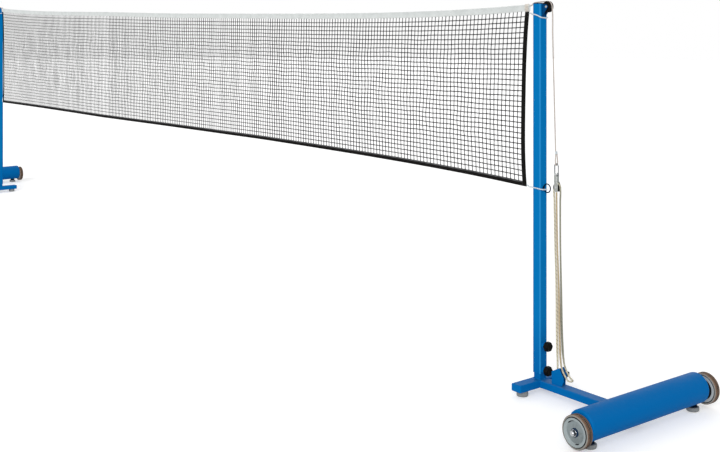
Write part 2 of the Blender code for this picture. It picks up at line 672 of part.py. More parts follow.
def make_top_pulley(side, unit):
    """Bracket of two lugs and a back plate on the post's outer face, with its sheave."""
    lug_y = SHEAVE_WIDTH / 2 + SIDE_PLAY + LUG_THICKNESS / 2
    face = POST_FACE + FIT
    back = face - SHEAVE_X
    outline = [(back, -LUG_BELOW), (LUG_REACH, -LUG_REACH), (LUG_REACH, LUG_ABOVE / 2),
               (0, LUG_ABOVE), (back, LUG_ABOVE)]
    bracket = plate(side + "_pulley_bracket", outline, LUG_THICKNESS, NAVY_PAINT, unit,
                    (SHEAVE_X, -lug_y, SHEAVE_Z), UPRIGHT)
    far_lug = plate(side + "_pulley_lug", outline, LUG_THICKNESS, None, unit,
                    (SHEAVE_X, lug_y, SHEAVE_Z), UPRIGHT)
    shape_with(bracket, far_lug, "UNION")
    foot = SHEAVE_Z - LUG_BELOW
    back_plate = block_between(side + "_pulley_back", (face, -lug_y, foot),
                               (face + LUG_THICKNESS, lug_y, foot + BACK_PLATE_HEIGHT), None, unit)
    shape_with(bracket, back_plate, "UNION")
    outer = lug_y + LUG_THICKNESS / 2
    head = outer + PIN_HEAD_LENGTH
    sunk = LUG_THICKNESS / 3
    pin = turned(side + "_pulley_pin", [
        (0, head), (PIN_HEAD_RADIUS, head), (PIN_HEAD_RADIUS, outer - sunk),
        (PIN_RADIUS, outer - sunk), (PIN_RADIUS, -outer + sunk), (PIN_HEAD_RADIUS, -outer + sunk),
        (PIN_HEAD_RADIUS, -head), (0, -head),
    ], False, SMALL_STEPS, None, unit, (SHEAVE_X, 0, SHEAVE_Z), ALONG_Y)
    shape_with(bracket, pin, "UNION")
    profile = sheave_profile(SHEAVE_RADIUS, SHEAVE_GROOVE, SHEAVE_WIDTH, PIN_RADIUS + RUNNING_FIT)
    turned(side + "_top_sheave", profile, True, FOOT_STEPS, BLACK_PLASTIC, unit,
           (SHEAVE_X, 0, SHEAVE_Z), ALONG_Y)


def make_tie_eye(side, unit):
    """Steel eye welded to the post's outer face for the net's lower corner."""
    bm = bmesh.new()
    round_steps, wire_steps = 16, 6
    rings = []
    for step in range(round_steps):
        bearing = math.tau * step / round_steps
        ring = []
        for corner in range(wire_steps):
            angle = math.tau * corner / wire_steps
            radius = EYE_RADIUS + EYE_WIRE * math.cos(angle)
            ring.append(bm.verts.new((radius * math.cos(bearing), EYE_WIRE * math.sin(angle),
                                      radius * math.sin(bearing))))
        rings.append(ring)
    for step in range(round_steps):
        here, there = rings[step], rings[(step + 1) % round_steps]
        for corner in range(wire_steps):
            after = (corner + 1) % wire_steps
            bm.faces.new((here[corner], here[after], there[after], there[corner]))
    name = side + "_tie_eye"
    centre_x = POST_FACE + FIT + EYE_RADIUS + EYE_WIRE
    eye = place(name, to_mesh(bm, name), DARK_STEEL, unit, (centre_x, 0, EYE_HEIGHT))
    collar = rod(name + "_collar", EYE_COLLAR_RADIUS, EYE_COLLAR_LENGTH, None, unit,
                 (POST_FACE + FIT + EYE_COLLAR_LENGTH / 2, 0, EYE_HEIGHT), ALONG_X)
    shape_with(eye, collar, "UNION")


def make_cleat(side, unit):
    """Folded bracket on the arm, its two cheeks toothed where the rope jams."""
    foot = BAR_TOP + FIT
    crest = Vector((CLEAT_CREST_X, CLEAT_CREST_HEIGHT))
    run = Vector((CLEAT_NOTCH_X, CLEAT_NOTCH_HEIGHT)) - crest
    inward = Vector((run.y, -run.x)).normalized() * CLEAT_TOOTH_DEPTH
    teeth = []
    for tooth in range(CLEAT_TEETH):
        tip = crest + run * (tooth / CLEAT_TEETH)
        root = crest + run * ((tooth + 0.8) / CLEAT_TEETH) + inward
        teeth += [tuple(tip), tuple(root)]
    outline = [(0, 0), (CLEAT_FOOT_LENGTH, 0), (CLEAT_FOOT_LENGTH, CLEAT_WAIST_HEIGHT),
               (CLEAT_EAR_X, CLEAT_EAR_BOTTOM), (CLEAT_EAR_X, CLEAT_EAR_TOP),
               (CLEAT_EAR_X - CLEAT_EAR_LENGTH, CLEAT_EAR_TOP), tuple(crest + run)]
    outline += list(reversed(teeth)) + [(0, CLEAT_BACK_HEIGHT)]
    cheek_y = CLEAT_INSIDE / 2 + CLEAT_PLATE / 2
    cleat = plate(side + "_cleat", outline, CLEAT_PLATE, BLUE_PAINT, unit,
                  (CLEAT_X, -cheek_y, foot), UPRIGHT)
    far_cheek = plate(side + "_cleat_cheek", outline, CLEAT_PLATE, None, unit,
                      (CLEAT_X, cheek_y, foot), UPRIGHT)
    shape_with(cleat, far_cheek, "UNION")
    back = CLEAT_X + FIT
    web = block_between(side + "_cleat_web", (back, -cheek_y, foot + FIT),
                        (back + CLEAT_PLATE, cheek_y, foot + CLEAT_WEB_HEIGHT), None, unit)
    shape_with(cleat, web, "UNION")


# ---------------------------------------------------------------- tension rope and tackle

def make_tension_rope(side, unit):
    """Rope from the net's head over the post and its sheave, ending in an eye on the hook."""
    seat = SHEAVE_GROOVE + ROPE_RADIUS + FIT
    head = lifted([(FIT - NET_END_TOP, 0, HEAD_ROPE_START)] + HEAD_ROPE_ROUTE, POST_TOP)
    over = arc_over(SHEAVE_X, SHEAVE_Z, seat, 95, 3, 8)
    eye = lifted(HOOK_EYE_ROUTE, HOOK_BOTTOM)
    leaves, arrives = Vector(over[-1]), Vector(eye[0])
    fall = [leaves.lerp(arrives, step / FALL_STEPS) for step in range(1, FALL_STEPS)]
    cord(side + "_tension_rope", smooth(head + over + fall + eye), ROPE_RADIUS, WHITE_CORD, unit)


def make_snap_hook(side, unit):
    """Oval snap hook with a sprung gate in its outer side."""
    low = HOOK_BOTTOM + HOOK_BOW
    high = HOOK_BOTTOM + HOOK_HEIGHT - HOOK_BOW
    gate_x = HOOK_X + HOOK_BOW
    gate_foot = GATE_PIVOT_Z - GATE_WIRE - FIT
    gate_head = GATE_PIVOT_Z + GATE_LENGTH + FIT
    route = [(gate_x, 0, gate_foot), (gate_x, 0, (gate_foot + low) / 2)]
    steps = 8
    for step in range(steps + 1):
        angle = -math.pi * step / steps
        route.append((HOOK_X + HOOK_BOW * math.cos(angle), 0, low + HOOK_BOW * math.sin(angle)))
    for step in range(steps + 1):
        angle = math.pi - math.pi * step / steps
        route.append((HOOK_X + HOOK_BOW * math.cos(angle), 0, high + HOOK_BOW * math.sin(angle)))
    route.append((gate_x, 0, gate_head))
    cord(side + "_snap_hook", route, HOOK_WIRE, BRIGHT_STEEL, unit)
    ball = [(GATE_WIRE * math.cos(math.radians(angle)), GATE_WIRE * math.sin(math.radians(angle)))
            for angle in (0, -30, -60, -90)]
    turned(side + "_hook_gate", [(0, GATE_LENGTH), (GATE_WIRE, GATE_LENGTH)] + ball[:-1]
           + [(0, -GATE_WIRE)], False, 12, BRIGHT_STEEL, unit, (gate_x, 0, GATE_PIVOT_Z))


def make_block(side, unit):
    """Tackle block: two zinc cheeks on the sheave's pin, with straps up to the hook's pin."""
    half = BLOCK_WIDTH / 2
    strap = STRAP_WIDTH / 2
    pin_z = HOOK_BOTTOM + HOOK_WIRE + BLOCK_PIN_RADIUS + FIT
    top = pin_z + strap - BLOCK_Z
    lean = HOOK_X - BLOCK_X
    outline = [(-half, -BLOCK_BELOW * 0.6), (-half * 0.5, -BLOCK_BELOW), (half * 0.5, -BLOCK_BELOW),
               (half, -BLOCK_BELOW * 0.6), (half, BLOCK_ABOVE * 0.5), (lean + strap, BLOCK_ABOVE),
               (lean + strap, top - strap * 0.5), (lean + strap * 0.4, top),
               (lean - strap * 0.4, top), (lean - strap, top - strap * 0.5),
               (lean - strap, BLOCK_ABOVE), (-half, BLOCK_ABOVE * 0.5)]
    cheek_y = BLOCK_SHEAVE_WIDTH / 2 + SIDE_PLAY + BLOCK_CHEEK / 2
    block = plate(side + "_tackle_block", outline, BLOCK_CHEEK, ZINC_STEEL, unit,
                  (BLOCK_X, -cheek_y, BLOCK_Z), UPRIGHT)
    far_cheek = plate(side + "_block_cheek", outline, BLOCK_CHEEK, None, unit,
                      (BLOCK_X, cheek_y, BLOCK_Z), UPRIGHT)
    shape_with(block, far_cheek, "UNION")
    head = cheek_y * 2 + BLOCK_CHEEK * 2
    for label, x, z in (("sheave_pin", BLOCK_X, BLOCK_Z), ("hook_pin", HOOK_X, pin_z)):
        pin = rod(side + "_" + label, BLOCK_PIN_RADIUS, head, None, unit, (x, 0, z), ALONG_Y, 12)
        shape_with(block, pin, "UNION")
    profile = sheave_profile(BLOCK_SHEAVE_RADIUS, BLOCK_SHEAVE_GROOVE, BLOCK_SHEAVE_WIDTH,
                             BLOCK_PIN_RADIUS + RUNNING_FIT)
    turned(side + "_block_sheave", profile, True, SMALL_STEPS, BLACK_PLASTIC, unit,
           (BLOCK_X, 0, BLOCK_Z), ALONG_Y)


def make_tackle_rope(side, unit):
    """Rope from the cleat over the block's sheave, back through the cleat and up to the block."""
    seat = BLOCK_SHEAVE_GROOVE + TACKLE_RADIUS + FIT
    over = arc_over(BLOCK_X, BLOCK_Z, seat, 183, -2, 9)
    cord(side + "_tackle_rope", smooth(TACKLE_RISE + over + TACKLE_FALL), TACKLE_RADIUS,
         BEIGE_CORD, unit)


def make_ties(side, sign, unit):
    """Cords that hold the net's side tape: one lashed round the post, one to the tie eye."""
    top = POST_TOP + TOP_TIE_START
    bottom = (NET_RIGHT_CORNER if sign > 0 else NET_LEFT_CORNER) + TIE_ABOVE_CORNER
    ties = (("_top_tie", top, lifted(TOP_TIE_ROUTE, POST_TOP)),
            ("_bottom_tie", bottom, lifted(BOTTOM_TIE_ROUTE, EYE_HEIGHT)))
    for name, height, route in ties:
        edge = net_half_width(sign, height) - POST_SPAN / 2 + TIE_END_GAP
        start = [(edge, 0, height), (edge + 2 * TIE_RADIUS, 0, height)]
        cord(side + name, smooth(start + route), TIE_RADIUS, WHITE_CORD, unit)


# ---------------------------------------------------------------- net

def net_top(x):
    """Height of the net's top edge."""
    return NET_TOP - NET_TOP_SAG * (1 - abs(x / NET_HALF_TOP) ** NET_SAG_POWER)


def net_bottom(x):
    """Height of the net's bottom edge."""
    share = x / NET_HALF_BOTTOM
    chord = (NET_RIGHT_CORNER + NET_LEFT_CORNER) / 2
    slope = (NET_RIGHT_CORNER - NET_LEFT_CORNER) / 2
    return chord + slope * share + NET_BOTTOM_RISE * (1 - abs(share) ** NET_SAG_POWER)


def net_half_width(x, z):
    """Half the net's width at a height, on the side x is on: its ends lean and bow in."""
    low = NET_RIGHT_CORNER if x > 0 else NET_LEFT_CORNER
    share = (z - low) / (NET_TOP - low)
    bow = NET_SIDE_BOW * (1 - abs(2 * share - 1) ** NET_SIDE_POWER)
    return NET_HALF_BOTTOM + (NET_HALF_TOP - NET_HALF_BOTTOM) * share - bow


def sheet_between(name, corner_at, columns, rows, material):
    """A thin sheet whose points come from corner_at(across, up), both from 0 to 1."""
    bm = bmesh.new()
    bmesh.ops.create_grid(bm, x_segments=columns, y_segments=rows, size=1)
    for vertex in bm.verts:
        vertex.co = corner_at((vertex.co.x + 1) / 2, (vertex.co.y + 1) / 2)
    return place(name, to_mesh(bm, name, smooth=False), material, None)


def thicken(piece, thickness):
    """Give a sheet its thickness, half to each side."""
    shell = piece.modifiers.new("thickness", "SOLIDIFY")
    shell.thickness = thickness
    shell.offset = 0
    return piece


def make_net():
    """Net, white head tape, black foot tape and black side tapes."""
    def head_tape(across, up):
        x = (across * 2 - 1) * NET_HALF_TOP
        return Vector((x, 0, net_top(x) - HEAD_TAPE_HEIGHT * (1 - up)))

    def foot_tape(across, up):
        share = across * 2 - 1
        z = net_bottom(share * NET_HALF_BOTTOM) + FOOT_TAPE_HEIGHT * up
        return Vector((share * (net_half_width(share, z) - SIDE_TAPE_WIDTH - FIT), 0, z))

    def mesh(across, up):
        margin = NET_STRAND / 2 + FIT
        inset = SIDE_TAPE_WIDTH + 2 * margin
        x = (across * 2 - 1) * (NET_HALF_TOP - inset)
        low = net_bottom(x) + FOOT_TAPE_HEIGHT + margin
        high = net_top(x) - HEAD_TAPE_HEIGHT - margin - FIT
        z = low + (high - low) * up
        return Vector(((across * 2 - 1) * (net_half_width(x, z) - inset), 0, z))

    thicken(sheet_between("head_tape", head_tape, TAPE_STEPS, 1, WHITE_TAPE), HEAD_TAPE_THICKNESS)
    thicken(sheet_between("foot_tape", foot_tape, TAPE_STEPS, 1, BLACK_TAPE), FOOT_TAPE_THICKNESS)
    for side, sign, corner in (("right", 1, NET_RIGHT_CORNER), ("left", -1, NET_LEFT_CORNER)):
        def side_tape(across, up, sign=sign, corner=corner):
            inset = SIDE_TAPE_WIDTH * across
            reach = net_half_width(sign, NET_TOP - HEAD_TAPE_HEIGHT) - inset
            high = net_top(reach) - HEAD_TAPE_HEIGHT - FIT
            z = corner + (high - corner) * up
            return Vector((sign * (net_half_width(sign, z) - inset), 0, z))
        tape = sheet_between(side + "_side_tape", side_tape, 1, SIDE_TAPE_STEPS, BLACK_TAPE)
        thicken(tape, SIDE_TAPE_THICKNESS)
    net = sheet_between("net_mesh", mesh, NET_COLUMNS, NET_ROWS, NET_THREAD)
    strands = net.modifiers.new("strands", "WIREFRAME")
    strands.thickness = NET_STRAND
    strands.use_boundary = True
    strands.use_replace = True
    strands.use_even_offset = False


# ---------------------------------------------------------------- the set

for side, sign in (("right", 1), ("left", -1)):
    unit = bpy.data.objects.new(side + "_unit", None)
    PARTS.objects.link(unit)
    unit.location = (sign * POST_SPAN / 2, 0, 0)
    unit.rotation_euler = (0, 0, 0 if sign > 0 else math.pi)
    make_crossbar(side, unit)
    make_arm(side, unit)
    make_post(side, unit)
    for level, height in KNOB_HEIGHTS.items():
        make_knob(side, level, height, unit)
    make_counterweight(side, unit)
    make_axle(side, unit)
    for own_side in (-1, 1):
        facing = "front" if own_side * sign < 0 else "back"
        make_wheel(side, facing, own_side, unit)
        make_feet(side, facing, own_side, unit)
    make_top_pulley(side, unit)
    make_tie_eye(side, unit)
    make_cleat(side, unit)
    make_tension_rope(side, unit)
    make_snap_hook(side, unit)
    make_block(side, unit)
    make_tackle_rope(side, unit)
    make_ties(side, sign, unit)
make_net()
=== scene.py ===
"""Looks of a sports net on two weighted, wheeled posts. Metres, +Z up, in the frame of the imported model."""
import bisect
import math

import bmesh
import bpy
from mathutils import Matrix, Vector, noise


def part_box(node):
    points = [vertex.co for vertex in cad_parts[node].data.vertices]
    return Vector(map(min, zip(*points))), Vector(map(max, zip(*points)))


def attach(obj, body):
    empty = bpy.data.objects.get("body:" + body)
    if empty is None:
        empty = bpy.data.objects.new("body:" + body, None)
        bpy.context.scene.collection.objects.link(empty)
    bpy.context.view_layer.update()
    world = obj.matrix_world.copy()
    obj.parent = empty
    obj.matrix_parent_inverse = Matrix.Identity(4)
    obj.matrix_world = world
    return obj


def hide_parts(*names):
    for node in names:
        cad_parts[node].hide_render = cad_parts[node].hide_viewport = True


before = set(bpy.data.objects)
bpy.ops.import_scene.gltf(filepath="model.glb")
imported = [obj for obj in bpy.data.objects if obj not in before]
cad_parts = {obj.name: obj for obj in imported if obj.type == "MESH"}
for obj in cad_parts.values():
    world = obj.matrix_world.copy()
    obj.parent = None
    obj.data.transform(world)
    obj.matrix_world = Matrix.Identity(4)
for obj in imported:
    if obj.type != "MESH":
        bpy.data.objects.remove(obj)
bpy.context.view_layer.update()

# ================================================================ camera, light and floor
# The set stands on a plain white floor in a white studio. The camera is at eye
# height outside the right post and looks along the net towards the far end.
PHOTO_WIDTH, PHOTO_HEIGHT = 720, 452
FOCAL_PIXELS = 1106.5
HORIZON_ROW = 12.24
VIEW_TURN = math.radians(37.58)      # between the net's line and the camera's line of sight
EYE_HEIGHT = 1.5157
EYE_BACK, EYE_ASIDE = 4.436, 0.7212  # from the right post, along and across the line of sight
ROOM_LIGHT = 0.50                    # how strongly the white room lights the set
FLOOR_GREY, FLOOR_GLOW = 0.86, 0.36  # the glow is for the camera alone
FLOOR_RADIUS, FLOOR_DROP = 30, 0.0005

post_low, post_high = (Vector(corner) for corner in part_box("right_post"))
POST_FACE = (post_high.y - post_low.y) / 2
POST_X = post_low.x + POST_FACE
POST_TOP = post_high.z


def new_object(name, data):
    """An object in the scene for a mesh, a curve, a lamp or a lens."""
    made = bpy.data.objects.new(name, data)
    bpy.context.scene.collection.objects.link(made)
    return made


sight = Vector((-math.cos(VIEW_TURN), math.sin(VIEW_TURN), 0))
across = Vector((math.sin(VIEW_TURN), math.cos(VIEW_TURN), 0))
lens = bpy.data.cameras.new("camera")
lens.sensor_width = 36
lens.lens = lens.sensor_width * FOCAL_PIXELS / PHOTO_WIDTH
lens.shift_y = (HORIZON_ROW - PHOTO_HEIGHT / 2) / PHOTO_WIDTH
lens.clip_end = 100
camera = new_object("camera", lens)
camera.location = Vector((POST_X, 0, EYE_HEIGHT)) - sight * EYE_BACK - across * EYE_ASIDE
camera.rotation_euler = sight.to_track_quat("-Z", "Y").to_euler()
bpy.context.scene.camera = camera
bpy.context.scene.view_settings.view_transform = "Standard"


def studio_bank(name, towards, strength, spread):
    """Even soft light from one side of the studio, spread over so many degrees."""
    light = bpy.data.lights.new(name, "SUN")
    light.energy = strength
    light.angle = math.radians(spread)
    new_object(name, light).rotation_euler = Vector(towards).to_track_quat("Z", "Y").to_euler()


studio_bank("key_bank", towards=(0.30, -0.43, 0.25), strength=1.82, spread=35)
studio_bank("fill_bank", towards=(-0.5, 0.6, 0.6), strength=0.50, spread=50)


def add_node(tree, kind, *inputs, **settings):
    """A shader node. Inputs are sockets or plain values, in the node's own order; None skips one."""
    node = tree.nodes.new("ShaderNode" + kind)
    for name, value in settings.items():
        setattr(node, name, value)
    for socket, value in zip(node.inputs, inputs):
        if isinstance(value, bpy.types.NodeSocket):
            tree.links.new(value, socket)
        elif value is not None:
            socket.default_value = value
    return node


def math_node(tree, operation, *inputs):
    """The output of a Math node."""
    return add_node(tree, "Math", *inputs, operation=operation).outputs[0]


def ramp(tree, value, low, high, at_low=0.0, at_high=1.0):
    """A value brought from one range to another, and held at its ends."""
    return add_node(tree, "MapRange", value, low, high, at_low, at_high).outputs[0]


world = bpy.data.worlds.new("studio")
world.use_nodes = True
bpy.context.scene.world = world
tree = world.node_tree
ray = add_node(tree, "LightPath").outputs
seen = math_node(tree, "MAXIMUM", ray["Is Camera Ray"], ray["Is Glossy Ray"])
seen = math_node(tree, "MAXIMUM", seen, ray["Is Transmission Ray"])
backdrop = tree.nodes["Background"].inputs
tree.links.new(ramp(tree, seen, 0.0, 1.0, ROOM_LIGHT, 1.0), backdrop["Strength"])
backdrop["Color"].default_value = (1, 1, 1, 1)


def surface(name, roughness, metallic=0.0, specular=0.3, sheen=0.0):
    """A material with its plain shader, ready for its colour and relief."""
    material = bpy.data.materials.new(name)
    material.use_nodes = True
    shader = material.node_tree.nodes["Principled BSDF"].inputs
    for label, value in (("Roughness", roughness), ("Metallic", metallic),
                         ("Specular IOR Level", specular), ("Sheen Weight", sheen)):
        shader[label].default_value = value
    return material


def opened(material):
    """A material's node tree and the inputs of its shader."""
    return material.node_tree, material.node_tree.nodes["Principled BSDF"].inputs


floor_paint = surface("floor_paint", 0.9, specular=0.5)
tree, shader = opened(floor_paint)
shader["Base Color"].default_value = (FLOOR_GREY, FLOOR_GREY, FLOOR_GREY, 1)
shader["Emission Color"].default_value = (1, 1, 1, 1)
seen = math_node(tree, "MULTIPLY", add_node(tree, "LightPath").outputs["Is Camera Ray"], FLOOR_GLOW)
tree.links.new(seen, shader["Emission Strength"])
floor_mesh = bpy.data.meshes.new("floor")
bm = bmesh.new()
bmesh.ops.create_circle(bm, cap_ends=True, segments=64, radius=FLOOR_RADIUS)
bm.to_mesh(floor_mesh)
bm.free()
floor_mesh.materials.append(floor_paint)
studio_floor = new_object("floor", floor_mesh)
studio_floor.location.z = -FLOOR_DROP


# ================================================================ posts
# Square steel tube, 40 mm, powder coated blue, with a dark plastic cap pushed in
# the top. It slips over a spigot on the crossbar, and two knobs clamp it there.
SIDES = ("right", "left")
PLACE = {"right": Matrix.Translation((POST_X, 0, 0)),
         "left": Matrix.Translation((-POST_X, 0, 0)) @ Matrix.Rotation(math.pi, 4, "Z")}
CAP_INSET, CAP_THICKNESS, CAP_EDGE = 0.0012, 0.0030, 0.0022


def new_group(name, colours, numbers, results):
    """An empty node group; every result is a number but the one called Colour."""
    group = bpy.data.node_groups.new(name, "ShaderNodeTree")
    sockets = [(label, "INPUT", "Color") for label in colours]
    sockets += [(label, "INPUT", "Float") for label in numbers]
    sockets += [(label, "OUTPUT", "Color" if label == "Colour" else "Float") for label in results]
    for label, way, kind in sockets:
        group.interface.new_socket(label, in_out=way, socket_type="NodeSocket" + kind)
    return group, group.nodes.new("NodeGroupInput").outputs, group.nodes.new("NodeGroupOutput").inputs


def mottle(tree, place, size, detail, roughness):
    """Cloudy noise, size in clouds to the metre."""
    return add_node(tree, "TexNoise", place, None, size, detail, roughness).outputs[0]


def times(tree, first, *others):
    """The product of some values."""
    for other in others:
        first = math_node(tree, "MULTIPLY", first, other)
    return first


def blend_colours(tree, share, first, second):
    """The output of a colour mix: the first colour at 0, the second at 1."""
    node = add_node(tree, "Mix", data_type="RGBA")
    for socket, value in zip((node.inputs[0], node.inputs[6], node.inputs[7]), (share, first, second)):
        if isinstance(value, bpy.types.NodeSocket):
            tree.links.new(value, socket)
        else:
            socket.default_value = value
    return node.outputs[2]


def relief(material, height, depth):
    """Raise a surface by a height map; depth is in metres."""
    tree, shader = opened(material)
    node = add_node(tree, "Bump", 1.0, depth)
    tree.links.new(height, node.inputs["Height"])
    tree.links.new(node.outputs[0], shader["Normal"])


def finished(material, group, depth, **values):
    """Give a material a group's colour, relief and, if it has one, roughness."""
    tree, shader = opened(material)
    node = tree.nodes.new("ShaderNodeGroup")
    node.node_tree = group
    for label, value in values.items():
        node.inputs[label].default_value = (*value, 1) if isinstance(value, tuple) else value
    tree.links.new(node.outputs["Colour"], shader["Base Color"])
    if "Roughness" in node.outputs:
        tree.links.new(node.outputs["Roughness"], shader["Roughness"])
    relief(material, node.outputs["Height"], depth)
    return material


def tint(material, share, colour):
    """Lay one more colour over what gives a material its colour."""
    tree, shader = opened(material)
    under = shader["Base Color"].links[0].from_socket
    tree.links.new(blend_colours(tree, share, under, (*colour, 1)), shader["Base Color"])


# Handled paint: cloudy colour, fine orange peel, thin scuffs, painted shade that darkens it near the floor,
# and dust that settles near the floor on what faces up
wear_and_shade, given, result = new_group("wear_and_floor_shade_finish", ("Colour", "Shade", "Low", "Scuff"), ("Dust", "Grain"),
                                ("Colour", "Roughness", "Height"))
spot = add_node(wear_and_shade, "TexCoord").outputs["Object"]
cloud = mottle(wear_and_shade, spot, 9.0, 4.0, 0.6)
peel = mottle(wear_and_shade, spot, given["Grain"], 2.0, 0.5)
stretched = add_node(wear_and_shade, "Mapping", spot, None, (0.3, 0.2, 0.9), (14.0, 60.0, 260.0)).outputs[0]
scuff = ramp(wear_and_shade, mottle(wear_and_shade, stretched, 1.0, 3.0, 0.7), 0.66, 0.74, 0.0, 0.5)
# Near the floor: painted shade on the coat, and where the dust lies
floor_shade_and_dust = ramp(wear_and_shade, add_node(wear_and_shade, "SeparateXYZ", spot).outputs[2], 0.30, 0.15)
upward = add_node(wear_and_shade, "SeparateXYZ", add_node(wear_and_shade, "NewGeometry").outputs["Normal"]).outputs[2]
speck = ramp(wear_and_shade, mottle(wear_and_shade, spot, 70.0, 5.0, 0.75), 0.35, 0.75, 0.15, 1.0)
dust = times(wear_and_shade, speck, floor_shade_and_dust, ramp(wear_and_shade, upward, 0.3, 0.9), given["Dust"])
coat = blend_colours(wear_and_shade, cloud, given["Colour"], given["Shade"])
coat = blend_colours(wear_and_shade, floor_shade_and_dust, coat, given["Low"])
coat = blend_colours(wear_and_shade, scuff, coat, given["Scuff"])
wear_and_shade.links.new(blend_colours(wear_and_shade, dust, coat, (0.30, 0.29, 0.26, 1)), result["Colour"])
rough = ramp(wear_and_shade, cloud, 0.3, 0.7, 0.34, 0.48)
wear_and_shade.links.new(math_node(wear_and_shade, "ADD", rough, times(wear_and_shade, dust, 0.4)), result["Roughness"])
wear_and_shade.links.new(math_node(wear_and_shade, "SUBTRACT", peel, times(wear_and_shade, scuff, 0.5)), result["Height"])


def painted(name, colour, shade, low, scuff, grain=900.0, dust=0.03):
    """Powder coat in one colour."""
    return finished(surface(name, 0.40, specular=0.02), wear_and_shade, 0.00004, Colour=colour, Shade=shade,
                    Low=low, Scuff=scuff, Grain=grain, Dust=dust)


# Coat colour, its cloudy second tone, the darker tone painted near the floor as shade, and scuffs
BLUES = ((0.0003, 0.178, 0.490), (0.0003, 0.163, 0.452), (0.0004, 0.136, 0.415), (0.012, 0.190, 0.500))
BLUE_COAT = painted("blue_powder_coat", *BLUES)
DUSTY_COAT = painted("dusty_powder_coat", *BLUES, dust=0.24)
NAVY_COAT = painted("navy_powder_coat", (0.001, 0.008, 0.030), (0.001, 0.006, 0.022),
                    (0.001, 0.007, 0.020), (0.01, 0.03, 0.08))
CAP_PLASTIC = painted("cap_plastic", (0.001, 0.010, 0.034), (0.001, 0.008, 0.026),
                      (0.001, 0.008, 0.026), (0.01, 0.03, 0.07), grain=1500.0, dust=0.0)

# The post's own coat has a painted highlight along its outer corner and painted shade along the other corners
POST_COAT = painted("post_powder_coat", *BLUES)
tree, shader = opened(POST_COAT)
spot = add_node(tree, "SeparateXYZ", add_node(tree, "TexCoord").outputs["Object"]).outputs
own_x = math_node(tree, "SUBTRACT", math_node(tree, "ABSOLUTE", spot[0]), POST_X)
own_y = times(tree, spot[1], math_node(tree, "SIGN", spot[0]))
lit_corner = times(tree, ramp(tree, own_x, POST_FACE - 0.0055, POST_FACE - 0.0035),
               ramp(tree, own_y, 0.0035 - POST_FACE, 0.0055 - POST_FACE, 1.0, 0.0))
corner = times(tree, *(ramp(tree, math_node(tree, "ABSOLUTE", own), POST_FACE - 0.0045,
                            POST_FACE - 0.0010) for own in (own_x, own_y)))
shaded_corners = times(tree, corner, math_node(tree, "SUBTRACT", 1.0, lit_corner))
# Painted highlight on the outer corner, then painted shade on the other three
tint(POST_COAT, times(tree, lit_corner, 0.85), (0.020, 0.245, 0.560))
tint(POST_COAT, times(tree, shaded_corners, 0.75), (0.004, 0.080, 0.190))


def mesh_from(bm, material, smooth_angle=40):
    """Close a bmesh into a smooth-shaded mesh."""
    mesh = bpy.data.meshes.new("piece")
    bmesh.ops.recalc_face_normals(bm, faces=bm.faces)
    bm.to_mesh(mesh)
    bm.free()
    mesh.materials.append(material)
    mesh.shade_smooth()
    mesh.set_sharp_from_angle(angle=math.radians(smooth_angle))
    return mesh


def stand(name, mesh, body, slot, *nodes, sides=SIDES, at=(0, 0, 0), turn=Matrix.Identity(4)):
    """Put one piece on each unit, riding on its body, in place of the unit's own CAD nodes."""
    mesh.name = name
    pieces = []
    for side in sides:
        piece = new_object(side + "_" + name, mesh)
        piece.matrix_world = PLACE[side] @ Matrix.Translation(at) @ turn
        bpy.context.view_layer.update()
        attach(piece, body if body == "stand" else side + "_" + body)
        if nodes:
            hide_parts(*(side + "_" + node for node in nodes))
        pieces.append(piece)
    return pieces


def soften(pieces, width, segments=3):
    """Round the edges of some pieces."""
    for piece in pieces:
        edge = piece.modifiers.new("edges", "BEVEL")
        edge.width = width
        edge.segments = segments
        edge.limit_method = "ANGLE"
        edge.angle_limit = math.radians(30)
        edge.harden_normals = True


def block(low, high):
    """A bmesh box between two corners."""
    bm = bmesh.new()
    low, high = Vector(low), Vector(high)
    place = Matrix.Translation((low + high) / 2) @ Matrix.Diagonal((*(high - low), 1))
    bmesh.ops.create_cube(bm, size=1, matrix=place)
    return bm


def paint_node(node, material):
    """Give a CAD node that stays as it is its real finish, on both units."""
    for side in SIDES:
        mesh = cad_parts[side + "_" + node].data
        mesh.materials.clear()
        mesh.materials.append(material)


paint_node("post", POST_COAT)
cap_half = POST_FACE - CAP_INSET
cap = block((-cap_half, -cap_half, POST_TOP - 0.0002), (cap_half, cap_half, POST_TOP + CAP_THICKNESS))
soften(stand("post_cap", mesh_from(cap, CAP_PLASTIC), "stand", "navy_paint"), CAP_EDGE)


# ================================================================ base frame
# A crossbar under the post and an arm out to the counterweight, both 50 x 30 mm
# steel tube. They are welded together, and the bead is painted over.
BEAD, BEAD_STEP = 0.0022, 0.0012
SPIGOT_HALF = 0.0172


def own_box(node):
    """Lowest and highest corner of a right-hand node, measured from its post's axis."""
    low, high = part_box("right_" + node)
    shift = Vector((POST_X, 0, 0))
    return Vector(low) - shift, Vector(high) - shift


def middle_and_half(node):
    """The middle of a right-hand node, from its post's axis, and half its size."""
    low, high = own_box(node)
    return (low + high) / 2, (high - low) / 2


